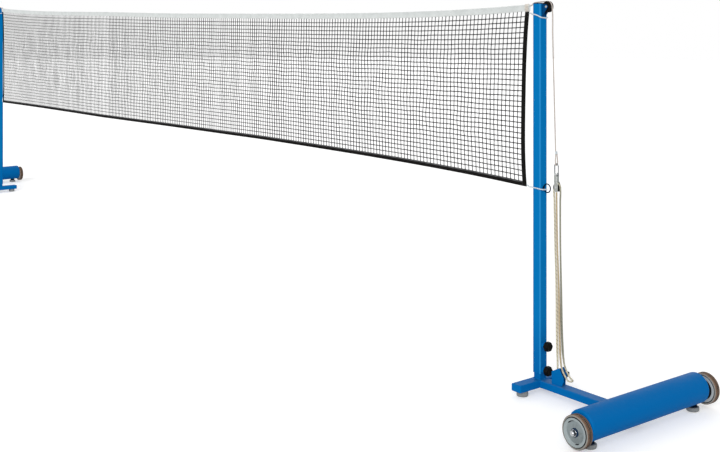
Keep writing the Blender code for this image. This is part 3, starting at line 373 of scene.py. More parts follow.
def tube_mesh(route, radius, material, sides, closed=False, wobble=0.0):
    """A round tube along a route, with UVs in metres; its radius may follow the run's length."""
    points = [Vector(point) for point in route]
    count = len(points)
    size_at = radius if callable(radius) else lambda run: radius
    bm = bmesh.new()
    uv = bm.loops.layers.uv.new("along")
    side = None
    rings, lengths, run = [], [], 0.0
    for index, point in enumerate(points):
        before = points[index - 1] if index or closed else point
        after = points[(index + 1) % count] if index < count - 1 or closed else point
        direction = (after - before).normalized()
        side = direction.orthogonal() if side is None else side - direction * side.dot(direction)
        side.normalize()
        up = direction.cross(side)
        if index:
            run += (point - points[index - 1]).length
        lengths.append(run)
        ring = []
        for corner in range(sides):
            turn = math.tau * corner / sides
            reach = size_at(run) * (1 + wobble * noise.noise(Vector((run * 700, corner, 3.7))))
            ring.append(bm.verts.new(point + side * math.cos(turn) * reach
                                     + up * math.sin(turn) * reach))
        rings.append(ring)
    girth = math.tau * size_at(0)
    for index in range(count if closed else count - 1):
        here, there = rings[index], rings[(index + 1) % count]
        start, end = lengths[index], lengths[index + 1] if index < count - 1 else run + 0.001
        for corner in range(sides):
            after = (corner + 1) % sides
            face = bm.faces.new((here[corner], here[after], there[after], there[corner]))
            spots = ((corner, start), (corner + 1, start), (corner + 1, end), (corner, end))
            for loop, (turn, length) in zip(face.loops, spots):
                loop[uv].uv = (girth * turn / sides, length)
    if not closed:
        bm.faces.new(list(reversed(rings[0])))
        bm.faces.new(rings[-1])
    return mesh_from(bm, material, 60)


def straight(first, last, spacing=BEAD_STEP):
    """Evenly spaced points from one place to another."""
    first, last = Vector(first), Vector(last)
    steps = max(2, round((last - first).length / spacing))
    return [first.lerp(last, step / steps) for step in range(steps + 1)]


def weld(name, run, radius=BEAD, closed=False, wobble=0.35):
    """A weld bead along a run of close points, painted over."""
    stand(name, tube_mesh(run, radius, BLUE_COAT, 8, closed, wobble), "stand", "blue_paint")


paint_node("crossbar", BLUE_COAT)
paint_node("arm", DUSTY_COAT)
arm_low, arm_high = own_box("arm")
joint_x = own_box("crossbar")[1].x + 0.0004
half_arm = arm_high.y - BEAD * 1.2
for label, z in (("upper", arm_high.z - BEAD * 0.25), ("lower", arm_low.z + BEAD * 0.25)):
    weld("arm_weld_" + label, straight((joint_x, -half_arm, z), (joint_x, half_arm, z)))
for label, y in (("front", -half_arm - BEAD * 0.8), ("back", half_arm + BEAD * 0.8)):
    weld("arm_weld_" + label, straight((joint_x, y, arm_low.z + BEAD), (joint_x, y, arm_high.z - BEAD)))
corners = [Vector((x * SPIGOT_HALF, y * SPIGOT_HALF, arm_high.z + 0.0002))
           for x, y in ((-1, -1), (1, -1), (1, 1), (-1, 1), (-1, -1))]
spigot_run = []
for first, last in zip(corners, corners[1:]):
    spigot_run += straight(first, last)[:-1]
weld("spigot_weld", spigot_run, closed=True)


# ================================================================ counterweight
# A filled steel cylinder, 114 mm across, coped to the arm and powder coated like
# it. Its ends are rounded over, and the wheels' axle passes through it.
WEIGHT_EDGE = 0.008
ON_AXIS = 0.0001   # radius at which a turned profile ends in the middle


def turned(profile, material, steps=96, closed=False, axis="Y"):
    """Turn a profile of (radius, distance along the axle) points into a round piece."""
    bm = bmesh.new()
    corners = [bm.verts.new((radius, distance, 0)) for radius, distance in profile]
    edges = [bm.edges.new(pair) for pair in zip(corners, corners[1:])]
    if closed:
        edges.append(bm.edges.new((corners[-1], corners[0])))
    bmesh.ops.spin(bm, geom=corners + edges, axis=(0, 1, 0), cent=(0, 0, 0), steps=steps,
                   angle=math.tau, use_merge=True, use_duplicate=False)
    bmesh.ops.remove_doubles(bm, verts=bm.verts, dist=0.000005)
    if axis != "Y":
        angle, about = {"Z": (90, "X"), "X": (-90, "Z")}[axis]
        bmesh.ops.rotate(bm, verts=bm.verts, matrix=Matrix.Rotation(math.radians(angle), 3, about))
    return mesh_from(bm, material, 32)


def arc(centre, radius, first, last, steps):
    """Points of an arc in a plane, angles in degrees from the first axis."""
    turns = (math.radians(first + (last - first) * step / steps) for step in range(steps + 1))
    return [(centre[0] + radius * math.cos(turn), centre[1] + radius * math.sin(turn))
            for turn in turns]


def mirrored(half):
    """A profile's half and its mirror image, for a piece that is alike at both ends."""
    return half + [(radius, -y) for radius, y in reversed(half)]


weight_centre, weight_size = middle_and_half("counterweight")
weight_radius, weight_half = weight_size.x, weight_size.y
profile = mirrored([(ON_AXIS, -weight_half)] + arc((weight_radius - WEIGHT_EDGE, WEIGHT_EDGE - weight_half),
                                                   WEIGHT_EDGE, -90, 0, 8))
stand("counterweight_shell", turned(profile, BLUE_COAT, 128), "stand", "blue_paint", "counterweight",
      at=weight_centre)
cope_z = arm_high.z + 0.0004
cope_x = weight_centre.x - math.sqrt(weight_radius ** 2 - (weight_centre.z - cope_z) ** 2) - 0.0004
weld("cope_weld", [(cope_x, half_arm * step / 20, cope_z) for step in range(-20, 21)], wobble=0.3)


# ================================================================ wheels
# A grey moulded wheel with a stepped face and a rubber tyre at each end of the
# counterweight. They carry the unit when it is tipped back onto them.
ENDS = [(facing, side, sign * way) for facing, sign in (("front", -1), ("back", 1))
        for side, way in (("right", 1), ("left", -1))]   # the last is each end's way in its own unit
BORE, HUB_RADIUS = 0.0063, 0.0150
STEP_IN, STEP_OUT = 0.0380, 0.0412          # the step in the face, along which arcs of painted shadow lie
FLANGE_IN, RIM_EDGE = 0.0400, 0.0500
GROOVE, SHOULDER, TREAD_EDGE = 0.0528, 0.0045, 0.0578
TREAD_RIBS, RIB_DEPTH = (0.0062, 0.0012), 0.0012
STEP_SHADOW_ARCS = ((42, 84), (244, 266))              # degrees

moulded, given, result = new_group("moulded_grain", ("Colour", "Shade"), ("Size", "Dirt"),
                                   ("Colour", "Roughness", "Height"))
spot = add_node(moulded, "TexCoord").outputs["Object"]
pebble = mottle(moulded, spot, given["Size"], 3.0, 0.6)
dirt = times(moulded, ramp(moulded, mottle(moulded, spot, 38.0, 5.0, 0.65), 0.48, 0.72), given["Dirt"])
moulded.links.new(blend_colours(moulded, dirt, given["Colour"], given["Shade"]), result["Colour"])
moulded.links.new(ramp(moulded, pebble, 0.3, 0.7, 0.48, 0.66), result["Roughness"])
moulded.links.new(pebble, result["Height"])


def plastic(name, colour, shade, size=500.0, dirt=0.4, depth=0.00006, specular=0.3):
    """Moulded plastic or rubber with a pebbled skin and handling marks."""
    return finished(surface(name, 0.55, specular=specular), moulded, depth, Colour=colour, Shade=shade,
                    Size=size, Dirt=dirt)


RIM_PLASTIC = plastic("grey_rim_plastic", (0.33, 0.38, 0.39), (0.22, 0.25, 0.26))
# The face's recess inside the step is a darker grey
RIM_WEB = plastic("grey_web_plastic", (0.235, 0.275, 0.285), (0.13, 0.15, 0.155), dirt=0.9)
RIM_SHADOW = plastic("rim_hollow_shadow", (0.014, 0.016, 0.018), (0.009, 0.010, 0.011), specular=0.1)
HUB_COLLAR = plastic("hub_collar_plastic", (0.010, 0.030, 0.070), (0.008, 0.020, 0.045), specular=0.1)
# The inner flange is a lighter grey as painted light, where it sits in shade beside the counterweight
RIM_FLANGE_LIT = plastic("flange_plastic_painted_light", (0.46, 0.49, 0.49), (0.34, 0.36, 0.36))
TYRE_WALL = plastic("tyre_wall_rubber", (0.265, 0.255, 0.235), (0.17, 0.165, 0.15))
TYRE_TREAD = plastic("tyre_tread_rubber", (0.19, 0.115, 0.072), (0.070, 0.058, 0.048), 260.0, 1.0,
                     0.00015)

axle_middle, axle_size = middle_and_half("axle")
tyre_middle, tyre_size = middle_and_half("tyre_back")
rim_size = middle_and_half("wheel_rim_back")[1]
wheel_y = {1: tyre_middle.y, -1: middle_and_half("tyre_front")[0].y}
tyre_radius, tyre_half, rim_radius = tyre_size.x, tyre_size.y, rim_size.x
hub_in, rim_out = (corner.y - tyre_middle.y for corner in own_box("wheel_rim_back"))
face = rim_out - 0.0025
recess = face - 0.0040

rim_profile = [(BORE, rim_out - 0.0002), (HUB_RADIUS - 0.0010, rim_out - 0.0002),
               (HUB_RADIUS, rim_out - 0.0012), (HUB_RADIUS + 0.0006, recess + 0.0010),
               (HUB_RADIUS + 0.0020, recess), (STEP_IN, recess), (STEP_IN + 0.0008, recess + 0.0006),
               (STEP_OUT - 0.0008, face - 0.0006), (STEP_OUT, face), (0.0455, face),
               (0.0466, face + 0.0005), (0.0474, rim_out - 0.0006), (0.0482, rim_out),
               (RIM_EDGE - 0.0008, rim_out - 0.0002), (RIM_EDGE, rim_out - 0.0012),
               (RIM_EDGE + 0.0002, tyre_half - 0.0034), (rim_radius - 0.0001, tyre_half - 0.0040),
               (rim_radius - 0.0001, 0.0040 - tyre_half), (RIM_EDGE + 0.0002, 0.0034 - tyre_half),
               (RIM_EDGE, 0.0006 - tyre_half), (RIM_EDGE - 0.0006, -tyre_half),
               (FLANGE_IN, -tyre_half), (FLANGE_IN - 0.0006, 0.0006 - tyre_half),
               (FLANGE_IN - 0.0020, 0.0094 - tyre_half), (FLANGE_IN - 0.0040, 0.0100 - tyre_half),
               (HUB_RADIUS + 0.0030, 0.0100 - tyre_half), (HUB_RADIUS, 0.0080 - tyre_half),
               (HUB_RADIUS, hub_in + 0.0010), (HUB_RADIUS - 0.0010, hub_in), (BORE, hub_in)]
rim_mesh = turned(rim_profile, RIM_PLASTIC, closed=True)
wall = [(rim_radius + 0.0003, tyre_half - 0.0036), (GROOVE - 0.0002, tyre_half - 0.0034),
        (GROOVE, tyre_half - 0.0008), (GROOVE + 0.0006, tyre_half)]
wall += arc((tyre_radius - SHOULDER, tyre_half - SHOULDER), SHOULDER, 84, 12, 8)
for rib in TREAD_RIBS:
    wall += [(tyre_radius, rib + 0.0009), (tyre_radius - RIB_DEPTH, rib + 0.0006),
             (tyre_radius - RIB_DEPTH, rib - 0.0006), (tyre_radius, rib - 0.0009)]
tyre_mesh = turned(mirrored(wall), TYRE_WALL, closed=True)
for mesh, finishes in ((rim_mesh, (RIM_SHADOW, HUB_COLLAR, RIM_WEB, RIM_FLANGE_LIT)),
                       (tyre_mesh, (RIM_SHADOW, TYRE_TREAD))):
    for material in finishes:
        mesh.materials.append(material)
# Painted shadow: the rim's hollow, two arcs along the face's step and the rim's edge in the tyre's groove
# take the dark material
for polygon in rim_mesh.polygons:
    middle = polygon.center
    reach = math.hypot(middle.x, middle.z)
    bearing = math.degrees(math.atan2(middle.z, middle.x)) % 360
    in_hollow = 0.0007 - tyre_half < middle.y < 0.0102 - tyre_half and reach < FLANGE_IN
    in_step_shadow = STEP_IN - 0.0005 < reach < STEP_OUT + 0.0003 and middle.y > 0 and any(
        first < bearing < last for first, last in STEP_SHADOW_ARCS)
    if in_hollow or in_step_shadow or reach > RIM_EDGE - 0.0001:
        polygon.material_index = 1
    elif reach < HUB_RADIUS + 0.0010 and middle.y > recess:
        polygon.material_index = 2
    elif reach < STEP_IN and middle.y > 0:
        polygon.material_index = 3
    elif reach > FLANGE_IN and middle.y < 0.0004 - tyre_half:
        polygon.material_index = 4
# Painted shadow: the tyre's groove beside the rim and its tread ribs take the dark material
for polygon in tyre_mesh.polygons:
    reach = math.hypot(polygon.center.x, polygon.center.z)
    in_rib = tyre_radius - 0.0014 < reach < tyre_radius - 0.0003 and abs(polygon.center.y) < 0.0072
    polygon.material_index = 1 if reach < GROOVE or in_rib else 2 if reach > TREAD_EDGE else 0

for facing, side, outward in ENDS:
    turn = Matrix.Identity(4) if outward > 0 else Matrix.Rotation(math.pi, 4, "Z")
    at = (axle_middle.x, wheel_y[outward], axle_middle.z)
    body = "wheel_" + facing
    stand(body + "_rim", rim_mesh, body, "grey_plastic", "wheel_rim_" + facing, sides=(side,), at=at,
          turn=turn)
    stand(body + "_tyre", tyre_mesh, body, "tyre_rubber", "tyre_" + facing, sides=(side,), at=at,
          turn=turn)

# ================================================================ axle
# A 12 mm bright zinc rod through both wheels and the counterweight, with a washer
# and a nut at each end.
ROD_RADIUS, THREAD_PITCH, ROD_CHAMFER = 0.0060, 0.0012, 0.001
NUT_RADIUS, NUT_HEIGHT, NUT_FACE_RADIUS = 0.0110, 0.0080, 0.0092
WASHER_RADIUS, WASHER_THICKNESS = 0.0120, 0.0020
ROD_PAST_NUT = 0.0028

metal, given, result = new_group("plated_metal", ("Colour", "Tarnish"), ("Amount", "Polish"),
                                 ("Colour", "Roughness", "Height"))
spot = add_node(metal, "TexCoord").outputs["Object"]
patch = mottle(metal, spot, 120.0, 5.0, 0.7)
tarnish = times(metal, ramp(metal, patch, 0.42, 0.70), given["Amount"])
metal.links.new(blend_colours(metal, tarnish, given["Colour"], given["Tarnish"]), result["Colour"])
metal.links.new(math_node(metal, "ADD", times(metal, patch, 0.25), given["Polish"]), result["Roughness"])
metal.links.new(add_node(metal, "TexVoronoi", spot, None, 420.0).outputs[0], result["Height"])


def plated(name, colour, tarnish, polish):
    """Zinc plated or bare steel."""
    return finished(surface(name, 0.3, metallic=1.0, specular=0.5), metal, 0.00002, Colour=colour,
                    Tarnish=tarnish, Amount=0.5, Polish=polish)


BRIGHT_ZINC = plated("bright_zinc", (0.72, 0.74, 0.76), (0.42, 0.44, 0.46), 0.10)
DULL_ZINC = plated("dull_zinc", (0.50, 0.52, 0.50), (0.34, 0.36, 0.35), 0.26)
# Dark iron for the nuts' sides, as painted shade
NUT_SIDE_SHADE = plated("nut_sides_painted_shade", (0.10, 0.115, 0.14), (0.05, 0.06, 0.08), 0.24)

axle_end = axle_size.y
nut_end = axle_end - ROD_PAST_NUT
nut_start = nut_end - NUT_HEIGHT
washer_start = nut_start - WASHER_THICKNESS
half_rod = [(ON_AXIS, axle_end), (0.0048, axle_end), (ROD_RADIUS - 0.0002, axle_end - ROD_CHAMFER)]
for step in range(int((ROD_PAST_NUT - ROD_CHAMFER) / THREAD_PITCH) + 1):
    y = axle_end - ROD_CHAMFER - THREAD_PITCH * step
    half_rod += [(ROD_RADIUS, y - THREAD_PITCH * 0.25), (ROD_RADIUS - 0.0006, y - THREAD_PITCH * 0.75)]
half_rod += [(ROD_RADIUS - 0.0002, nut_end + 0.0001), (ROD_RADIUS - 0.0002, nut_start),
             (WASHER_RADIUS - 0.0003, nut_start), (WASHER_RADIUS, nut_start - 0.0003),
             (WASHER_RADIUS, washer_start + 0.0003), (WASHER_RADIUS - 0.0003, washer_start),
             (ROD_RADIUS, washer_start)]
stand("axle_rod", turned(mirrored(half_rod), BRIGHT_ZINC, 48), "stand", "bright_steel", "axle",
      at=axle_middle)


def add_disc(bm, radius, height, y, segments):
    """A flat round or six-sided disc across the axle."""
    place = Matrix.Translation((0, y, 0)) @ Matrix.Rotation(math.radians(90), 4, "X")
    bmesh.ops.create_cone(bm, cap_ends=True, segments=segments, radius1=radius, radius2=radius,
                          depth=height, matrix=place)


# The nuts' sides are dark iron as painted shade; their faces are bright zinc discs
nuts = bmesh.new()
for sign in (-1, 1):
    add_disc(nuts, NUT_RADIUS, NUT_HEIGHT - 0.0002, sign * (nut_start + nut_end) / 2, 6)
soften(stand("axle_nuts", mesh_from(nuts, NUT_SIDE_SHADE), "stand", "bright_steel", at=axle_middle), 0.0008)
nut_face = bmesh.new()
add_disc(nut_face, NUT_FACE_RADIUS, 0.0010, 0, 48)
face_mesh = mesh_from(nut_face, BRIGHT_ZINC)
for sign, label in ((-1, "front"), (1, "back")):
    stand("nut_face_" + label, face_mesh, "stand", "bright_steel",
          at=axle_middle + Vector((0, sign * (nut_end + 0.0001), 0)))

# ================================================================ feet
# Rubber pads under the crossbar's ends and under the counterweight's ends. Those
# under the counterweight sit on short blue necks welded to it.
WEIGHT_PAD_HEIGHT, NECK_RADIUS = 0.0165, 0.0160
FOOT_RUBBER = plastic("grey_foot_rubber", (0.255, 0.265, 0.265), (0.165, 0.165, 0.160), 320.0, 0.7,
                      0.00012)

foot_middle, foot_size = middle_and_half("crossbar_foot_back")
radius, height = foot_size.x, 2 * foot_size.z
pad = [(ON_AXIS, 0.0), (radius - 0.0040, 0.0)] + arc((radius - 0.0030, 0.0030), 0.0030, -80, 0, 6)
pad += [(radius, height * 0.55), (radius - 0.0006, height * 0.62), (radius - 0.0006, height * 0.70),
        (radius, height * 0.76)]
pad += arc((radius - 0.0022, height - 0.0022), 0.0022, 0, 90, 6) + [(ON_AXIS, height)]
pad_mesh = turned(pad, FOOT_RUBBER, 64, axis="Z")
for facing, side, outward in ENDS:
    stand("crossbar_pad_" + facing, pad_mesh, "stand", "foot_rubber", "crossbar_foot_" + facing,
          sides=(side,), at=(0, outward * foot_middle.y, 0))

foot_middle, foot_size = middle_and_half("weight_foot_back")
radius, height, neck_top = foot_size.x, WEIGHT_PAD_HEIGHT, 2 * foot_size.z + 0.0010
pad = [(ON_AXIS, 0.0), (radius - 0.0065, 0.0)] + arc((radius - 0.0060, 0.0060), 0.0060, -80, 0, 8)
pad += arc((radius - 0.0030, height - 0.0030), 0.0030, 0, 90, 6) + [(ON_AXIS, height)]
pad_mesh = turned(pad, FOOT_RUBBER, 64, axis="Z")
neck = [(ON_AXIS, height), (NECK_RADIUS + 0.0012, height), (NECK_RADIUS, height + 0.0014),
        (NECK_RADIUS, neck_top), (ON_AXIS, neck_top)]
neck_mesh = turned(neck, NAVY_COAT, 48, axis="Z")
for facing, side, outward in ENDS:
    at = (weight_centre.x, outward * foot_middle.y, 0)
    stand("weight_pad_" + facing, pad_mesh, "stand", "foot_rubber", "weight_foot_" + facing,
          sides=(side,), at=at)
    stand("weight_neck_" + facing, neck_mesh, "stand", "navy_paint", sides=(side,), at=at)

# ================================================================ clamping knobs
# Black moulded hand knobs with soft lobes, each on an 8 mm stud that screws
# through a boss on the post and bears on the spigot inside.
LOBES, LOBE_DEPTH, KNOB_STEPS = 6, 0.0018, 96
KNOB_NECK, KNOB_START = 0.0060, POST_FACE + 0.0083
STUD_TURNS, STUD_PITCH = 9, 0.0011
KNOB_PLASTIC = plastic("black_knob_plastic", (0.0030, 0.0028, 0.0026), (0.0060, 0.0056, 0.0052), 700.0,
                       0.5, 0.00005, 0.08)
stud = [(ON_AXIS, -0.0105)]
for step in range(STUD_TURNS):
    stud += [(0.0038, -0.0103 + STUD_PITCH * step), (0.0034, -0.0098 + STUD_PITCH * step)]
stud += [(0.0038, 0.0002), (ON_AXIS, 0.0002)]
for level in ("lower", "upper"):
    knob = level + "_knob"
    knob_middle, knob_size = middle_and_half(knob)
    grip, length = knob_size.z, knob_middle.x + knob_size.x - KNOB_START
    stations = [(0.0, 0.0090, 0.0), (KNOB_NECK - 0.0005, 0.0090, 0.0), (KNOB_NECK, 0.0110, 0.2),
                (KNOB_NECK + 0.0006, grip - 0.0030, 0.8), (KNOB_NECK + 0.0014, grip - 0.0012, 1.0),
                (KNOB_NECK + 0.0030, grip, 1.0), (KNOB_NECK + 0.0090, grip, 1.0),
                (length - 0.0040, grip - 0.0004, 1.0), (length - 0.0014, grip - 0.0020, 1.0),
                (length, grip - 0.0052, 0.7), (length - 0.0002, grip - 0.0090, 0.2),
                (length - 0.0016, 0.0080, 0.0), (length - 0.0016, ON_AXIS, 0.0)]
    bm = bmesh.new()
    rings = []
    for distance, size, lobed in stations:
        turns = (math.tau * step / KNOB_STEPS for step in range(KNOB_STEPS))
        reaches = ((turn, size - LOBE_DEPTH * lobed * (1 - math.cos(LOBES * turn)) / 2) for turn in turns)
        rings.append([bm.verts.new((distance, reach * math.cos(turn), reach * math.sin(turn)))
                      for turn, reach in reaches])
    for here, there in zip(rings, rings[1:]):
        for step in range(KNOB_STEPS):
            after = (step + 1) % KNOB_STEPS
            bm.faces.new((here[step], here[after], there[after], there[step]))
    bm.faces.new(rings[0])
    at = (KNOB_START, 0, knob_middle.z)
    stand(knob + "_grip", mesh_from(bm, KNOB_PLASTIC, 35), knob, "black_plastic", knob, at=at)
    stand(knob + "_stud", turned(stud, BRIGHT_ZINC, 32, axis="X"), knob, "bright_steel", at=at)

# ================================================================ top pulley
# A folded bracket on the post's outer face carries a black nylon sheave on a
# riveted pin. The rope runs over the post's top and down this sheave.
SHEAVE_GROOVE, SHEAVE_BORE = 0.0187, 0.0042
LUG_GAP, LUG_THICKNESS, NOSE_RADIUS = 0.0007, 0.0030, 0.0075
BRACKET_BACK = 0.0235
# The bracket's coat is the post's blue darkened as painted shade
BRACKET_SHADE_COAT = painted("bracket_coat_painted_shade", (0.0005, 0.060, 0.190), (0.0005, 0.045, 0.150),
                       (0.0005, 0.045, 0.150), (0.01, 0.09, 0.24))


def sheave(radius, groove, half, bore):
    """A grooved wheel with rounded lips and a stepped cheek."""
    lip = half * 0.24
    mouth, mouth_radius = half - lip, radius - lip * 0.3
    cheek = [(bore, half - 0.0002), (bore + 0.0030, half - 0.0002), (bore + 0.0034, half - 0.0010),
             (radius * 0.78, half - 0.0010), (radius * 0.80, half - 0.0002)]
    cheek += arc((radius - lip / 2, half - lip / 2), lip / 2, 90, 0, 5)
    cheek += [(radius, mouth + lip * 0.2)]
    hollow = [(mouth_radius, mouth)]
    for step in range(1, 16):
        turn = math.pi * step / 16
        hollow.append((mouth_radius - (mouth_radius - groove) * math.sin(turn) ** 0.8,
                       mouth * math.cos(turn)))
    far_cheek = [(reach, -y) for reach, y in reversed(cheek)]
    return turned(cheek + hollow + far_cheek, KNOB_PLASTIC, 72, closed=True)


def plate_bmesh(outline, near, far):
    """A flat plate in X and Z between two values of Y."""
    bm = bmesh.new()
    front = [bm.verts.new((x, near, z)) for x, z in outline]
    rear = [bm.verts.new((x, far, z)) for x, z in outline]
    bm.faces.new(front)
    bm.faces.new(list(reversed(rear)))
    for index in range(len(outline)):
        after = (index + 1) % len(outline)
        bm.faces.new((front[after], front[index], rear[index], rear[after]))
    return bm


def merge(*meshes):
    """Several bmeshes as one."""
    whole = bmesh.new()
    for part in meshes:
        scratch = bpy.data.meshes.new("part")
        part.to_mesh(scratch)
        part.free()
        whole.from_mesh(scratch)
        bpy.data.meshes.remove(scratch)
    return whole


sheave_centre, sheave_size = middle_and_half("top_sheave")
stand("top_sheave_wheel", sheave(sheave_size.x, SHEAVE_GROOVE, sheave_size.y, SHEAVE_BORE), "top_sheave",
      "black_plastic", "top_sheave", at=sheave_centre)
bracket_low, bracket_high = own_box("pulley_bracket")
lug_in = sheave_size.y + LUG_GAP
lug_out = lug_in + LUG_THICKNESS
lug = [(bracket_low.x, bracket_low.z)] + arc((sheave_centre.x, sheave_centre.z), NOSE_RADIUS, -52, 62, 10)
lug += [(sheave_centre.x - 0.001, bracket_high.z), (bracket_low.x, bracket_high.z)]
folded = merge(plate_bmesh(lug, -lug_out, -lug_in), plate_bmesh(lug, lug_in, lug_out),
               block((bracket_low.x, -lug_in, bracket_low.z + 0.001),
                     (bracket_low.x + LUG_THICKNESS, lug_in, bracket_low.z + BRACKET_BACK)))
soften(stand("pulley_plates", mesh_from(folded, BRACKET_SHADE_COAT), "stand", "navy_paint",
             "pulley_bracket"), 0.0006, 2)
pin = [(ON_AXIS, lug_out + 0.0030), (0.0024, lug_out + 0.0029), (0.0042, lug_out + 0.0023),
       (0.0050, lug_out + 0.0012), (0.0052, lug_out), (0.0040, lug_out)]
stand("pulley_pin", turned(mirrored(pin), DULL_ZINC, 40), "stand", "bright_steel", at=sheave_centre)

# ================================================================ tie eye
# A steel ring welded to the post's outer face at the height of the net's foot.
# The cord from the net's lower corner is tied to it.
EYE_WIRE, EYE_INSET = 0.0023, 0.0022


def on_middle(points):
    """Points of X and Z, set in the unit's middle plane."""
    return [(x, 0.0, z) for x, z in points]


eye_middle, eye_size = middle_and_half("tie_eye")
eye_radius = eye_size.z - EYE_INSET
eye_x = eye_middle.x + eye_size.x - EYE_INSET - eye_radius
ring = on_middle(arc((eye_x, eye_middle.z), eye_radius, 0, 360, 64)[:-1])
stand("tie_eye_ring", tube_mesh(ring, EYE_WIRE, NAVY_COAT, 14, closed=True), "stand", "dark_steel",
      "tie_eye")
eye_foot = [(ON_AXIS, 0.0034), (0.0026, 0.0033), (0.0042, 0.0024), (0.0056, 0.0010), (0.0060, 0.0002),
            (ON_AXIS, 0.0002)]
stand("tie_eye_weld", turned(eye_foot, NAVY_COAT, 32, axis="X"), "stand", "blue_paint",
      at=(POST_FACE, 0, eye_middle.z))

# ================================================================ cleat
# A folded steel bracket welded on the arm. The front edges of its two cheeks are
# toothed, and the tackle rope is pulled down between them to jam.
CHEEK, CREST, TOOTH_DEPTH = 0.0030, (0.0408, 0.0713), 0.0020
BACK_HEIGHT, WEB_HEIGHT, TOE = 0.0490, 0.0450, 0.0530
CLEAT_BEAD, CLEAT_WELD = 0.0017, (0.002, 0.042)
cleat_low, cleat_high = own_box("cleat")
cheek_out = cleat_high.y
cheek_in = cheek_out - CHEEK
foot = Vector((cleat_low.x, cleat_low.z))
crest = foot + Vector(CREST)


def toothed(corners, low_tooth, teeth):
    """A cheek's outline: its lower corners, then teeth up to the crest, then the back."""
    run = crest - (foot + Vector(low_tooth))
    inward = Vector((-run.y, run.x)).normalized() * TOOTH_DEPTH
    outline = [foot + Vector(corner) for corner in corners]
    for tooth in range(teeth):
        outline += [crest - run * (1 - (tooth + 0.1) / teeth) + inward,
                    crest - run * (1 - (tooth + 0.9) / teeth)]
    return outline + [crest + inward, foot + Vector((0, BACK_HEIGHT))]


sloped = toothed(((0, 0), (0.0520, 0), (0.0635, 0.0260), (0.0635, 0.0370)), (0.0635, 0.0370), 7)
hooked = toothed(((0, 0), (0.0440, 0), (0.0440, 0.0290), (0.0635, 0.0400), (0.0635, 0.0560),
                  (0.0560, 0.0560)), (0.0470, 0.0480), 5)
folded = merge(plate_bmesh(sloped, -cheek_out, -cheek_in), plate_bmesh(hooked, cheek_in, cheek_out),
               block((foot.x, -cheek_in, foot.y), (foot.x + CHEEK, cheek_in, foot.y + WEB_HEIGHT)))
toe_x = foot.x + TOE
bmesh.ops.bisect_plane(folded, geom=folded.verts[:] + folded.edges[:] + folded.faces[:],
                       plane_co=(toe_x, 0, 0), plane_no=(1, 0, 0))
cleat_mesh = mesh_from(folded, DUSTY_COAT)
# The toothed front edges and the far cheek's toe take the navy coat as painted shade
cleat_mesh.materials.append(NAVY_COAT)
for polygon in cleat_mesh.polygons:
    teeth_in_shade = polygon.normal.x > 0.3 and polygon.center.z > foot.y + 0.0200
    toe_in_shade = polygon.center.x > toe_x and polygon.center.y > 0
    if teeth_in_shade or toe_in_shade:
        polygon.material_index = 1
soften(stand("cleat_plates", cleat_mesh, "stand", "blue_paint", "cleat"), 0.0005, 2)
for label, sign in (("front", -1), ("back", 1)):
    first, last = (Vector((foot.x + x, sign * (cheek_out + 0.0002), foot.y)) for x in CLEAT_WELD)
    weld("cleat_weld_" + label, straight(first, last), CLEAT_BEAD)

# ================================================================ tension rope
# A 5 mm braided rope, white with red tracers, from the net's head cord over the
# post and its sheave. Its end is turned back round the snap hook and seized.
ROPE_RADIUS, STRANDS, PITCH = 0.0025, 8.0, 8
ROPE_CLEAR = 0.0003
HOOK_WIRE = 0.0025
SEIZING_CORD, SEIZING_TURNS = 0.0008, 7

braided, given, result = new_group("braid", ("Colour", "Tracer", "Shade"), ("Girth", "Pitch", "Marks"),
                                   ("Colour", "Height"))
along = add_node(braided, "SeparateXYZ", add_node(braided, "TexCoord").outputs["UV"]).outputs
turn = times(braided, math_node(braided, "DIVIDE", along[0], given["Girth"]), STRANDS)
run = times(braided, math_node(braided, "DIVIDE", along[1], given["Pitch"]), STRANDS)
left = math_node(braided, "ADD", turn, run)
right = math_node(braided, "SUBTRACT", turn, run)
left_wave, right_wave = (math_node(braided, "SINE", times(braided, way, math.pi))
                         for way in (left, right))
left_yarn, right_yarn = (math_node(braided, "ABSOLUTE", wave) for wave in (left_wave, right_wave))
picked = math_node(braided, "FRACT", math_node(braided, "DIVIDE", left, STRANDS / 2))
picked = times(braided, math_node(braided, "LESS_THAN", picked, 0.26),
               math_node(braided, "GREATER_THAN", right_wave, 0.1), given["Marks"])
shaded = blend_colours(braided, times(braided, left_yarn, right_yarn), given["Shade"], given["Colour"])
braided.links.new(blend_colours(braided, picked, shaded, given["Tracer"]), result["Colour"])
braided.links.new(math_node(braided, "MAXIMUM", left_yarn, right_yarn), result["Height"])


def rope_finish(name, colour, shade, tracer, radius, marks=1.0):
    """Braided cord with coloured tracer yarns."""
    return finished(surface(name, 0.85, specular=0.1, sheen=0.05), braided, radius * 0.22, Colour=colour,
                    Shade=shade, Tracer=tracer, Girth=math.tau * radius, Pitch=radius * PITCH,
                    Marks=marks)


WHITE_ROPE = rope_finish("white_tracer_rope", (0.70, 0.67, 0.62), (0.46, 0.43, 0.39),
                         (0.42, 0.17, 0.15), ROPE_RADIUS)
TIE_CORD = rope_finish("white_tie_cord", (0.80, 0.86, 0.88), (0.62, 0.68, 0.72), (0.5, 0.5, 0.5),
                       0.0020, marks=0.0)


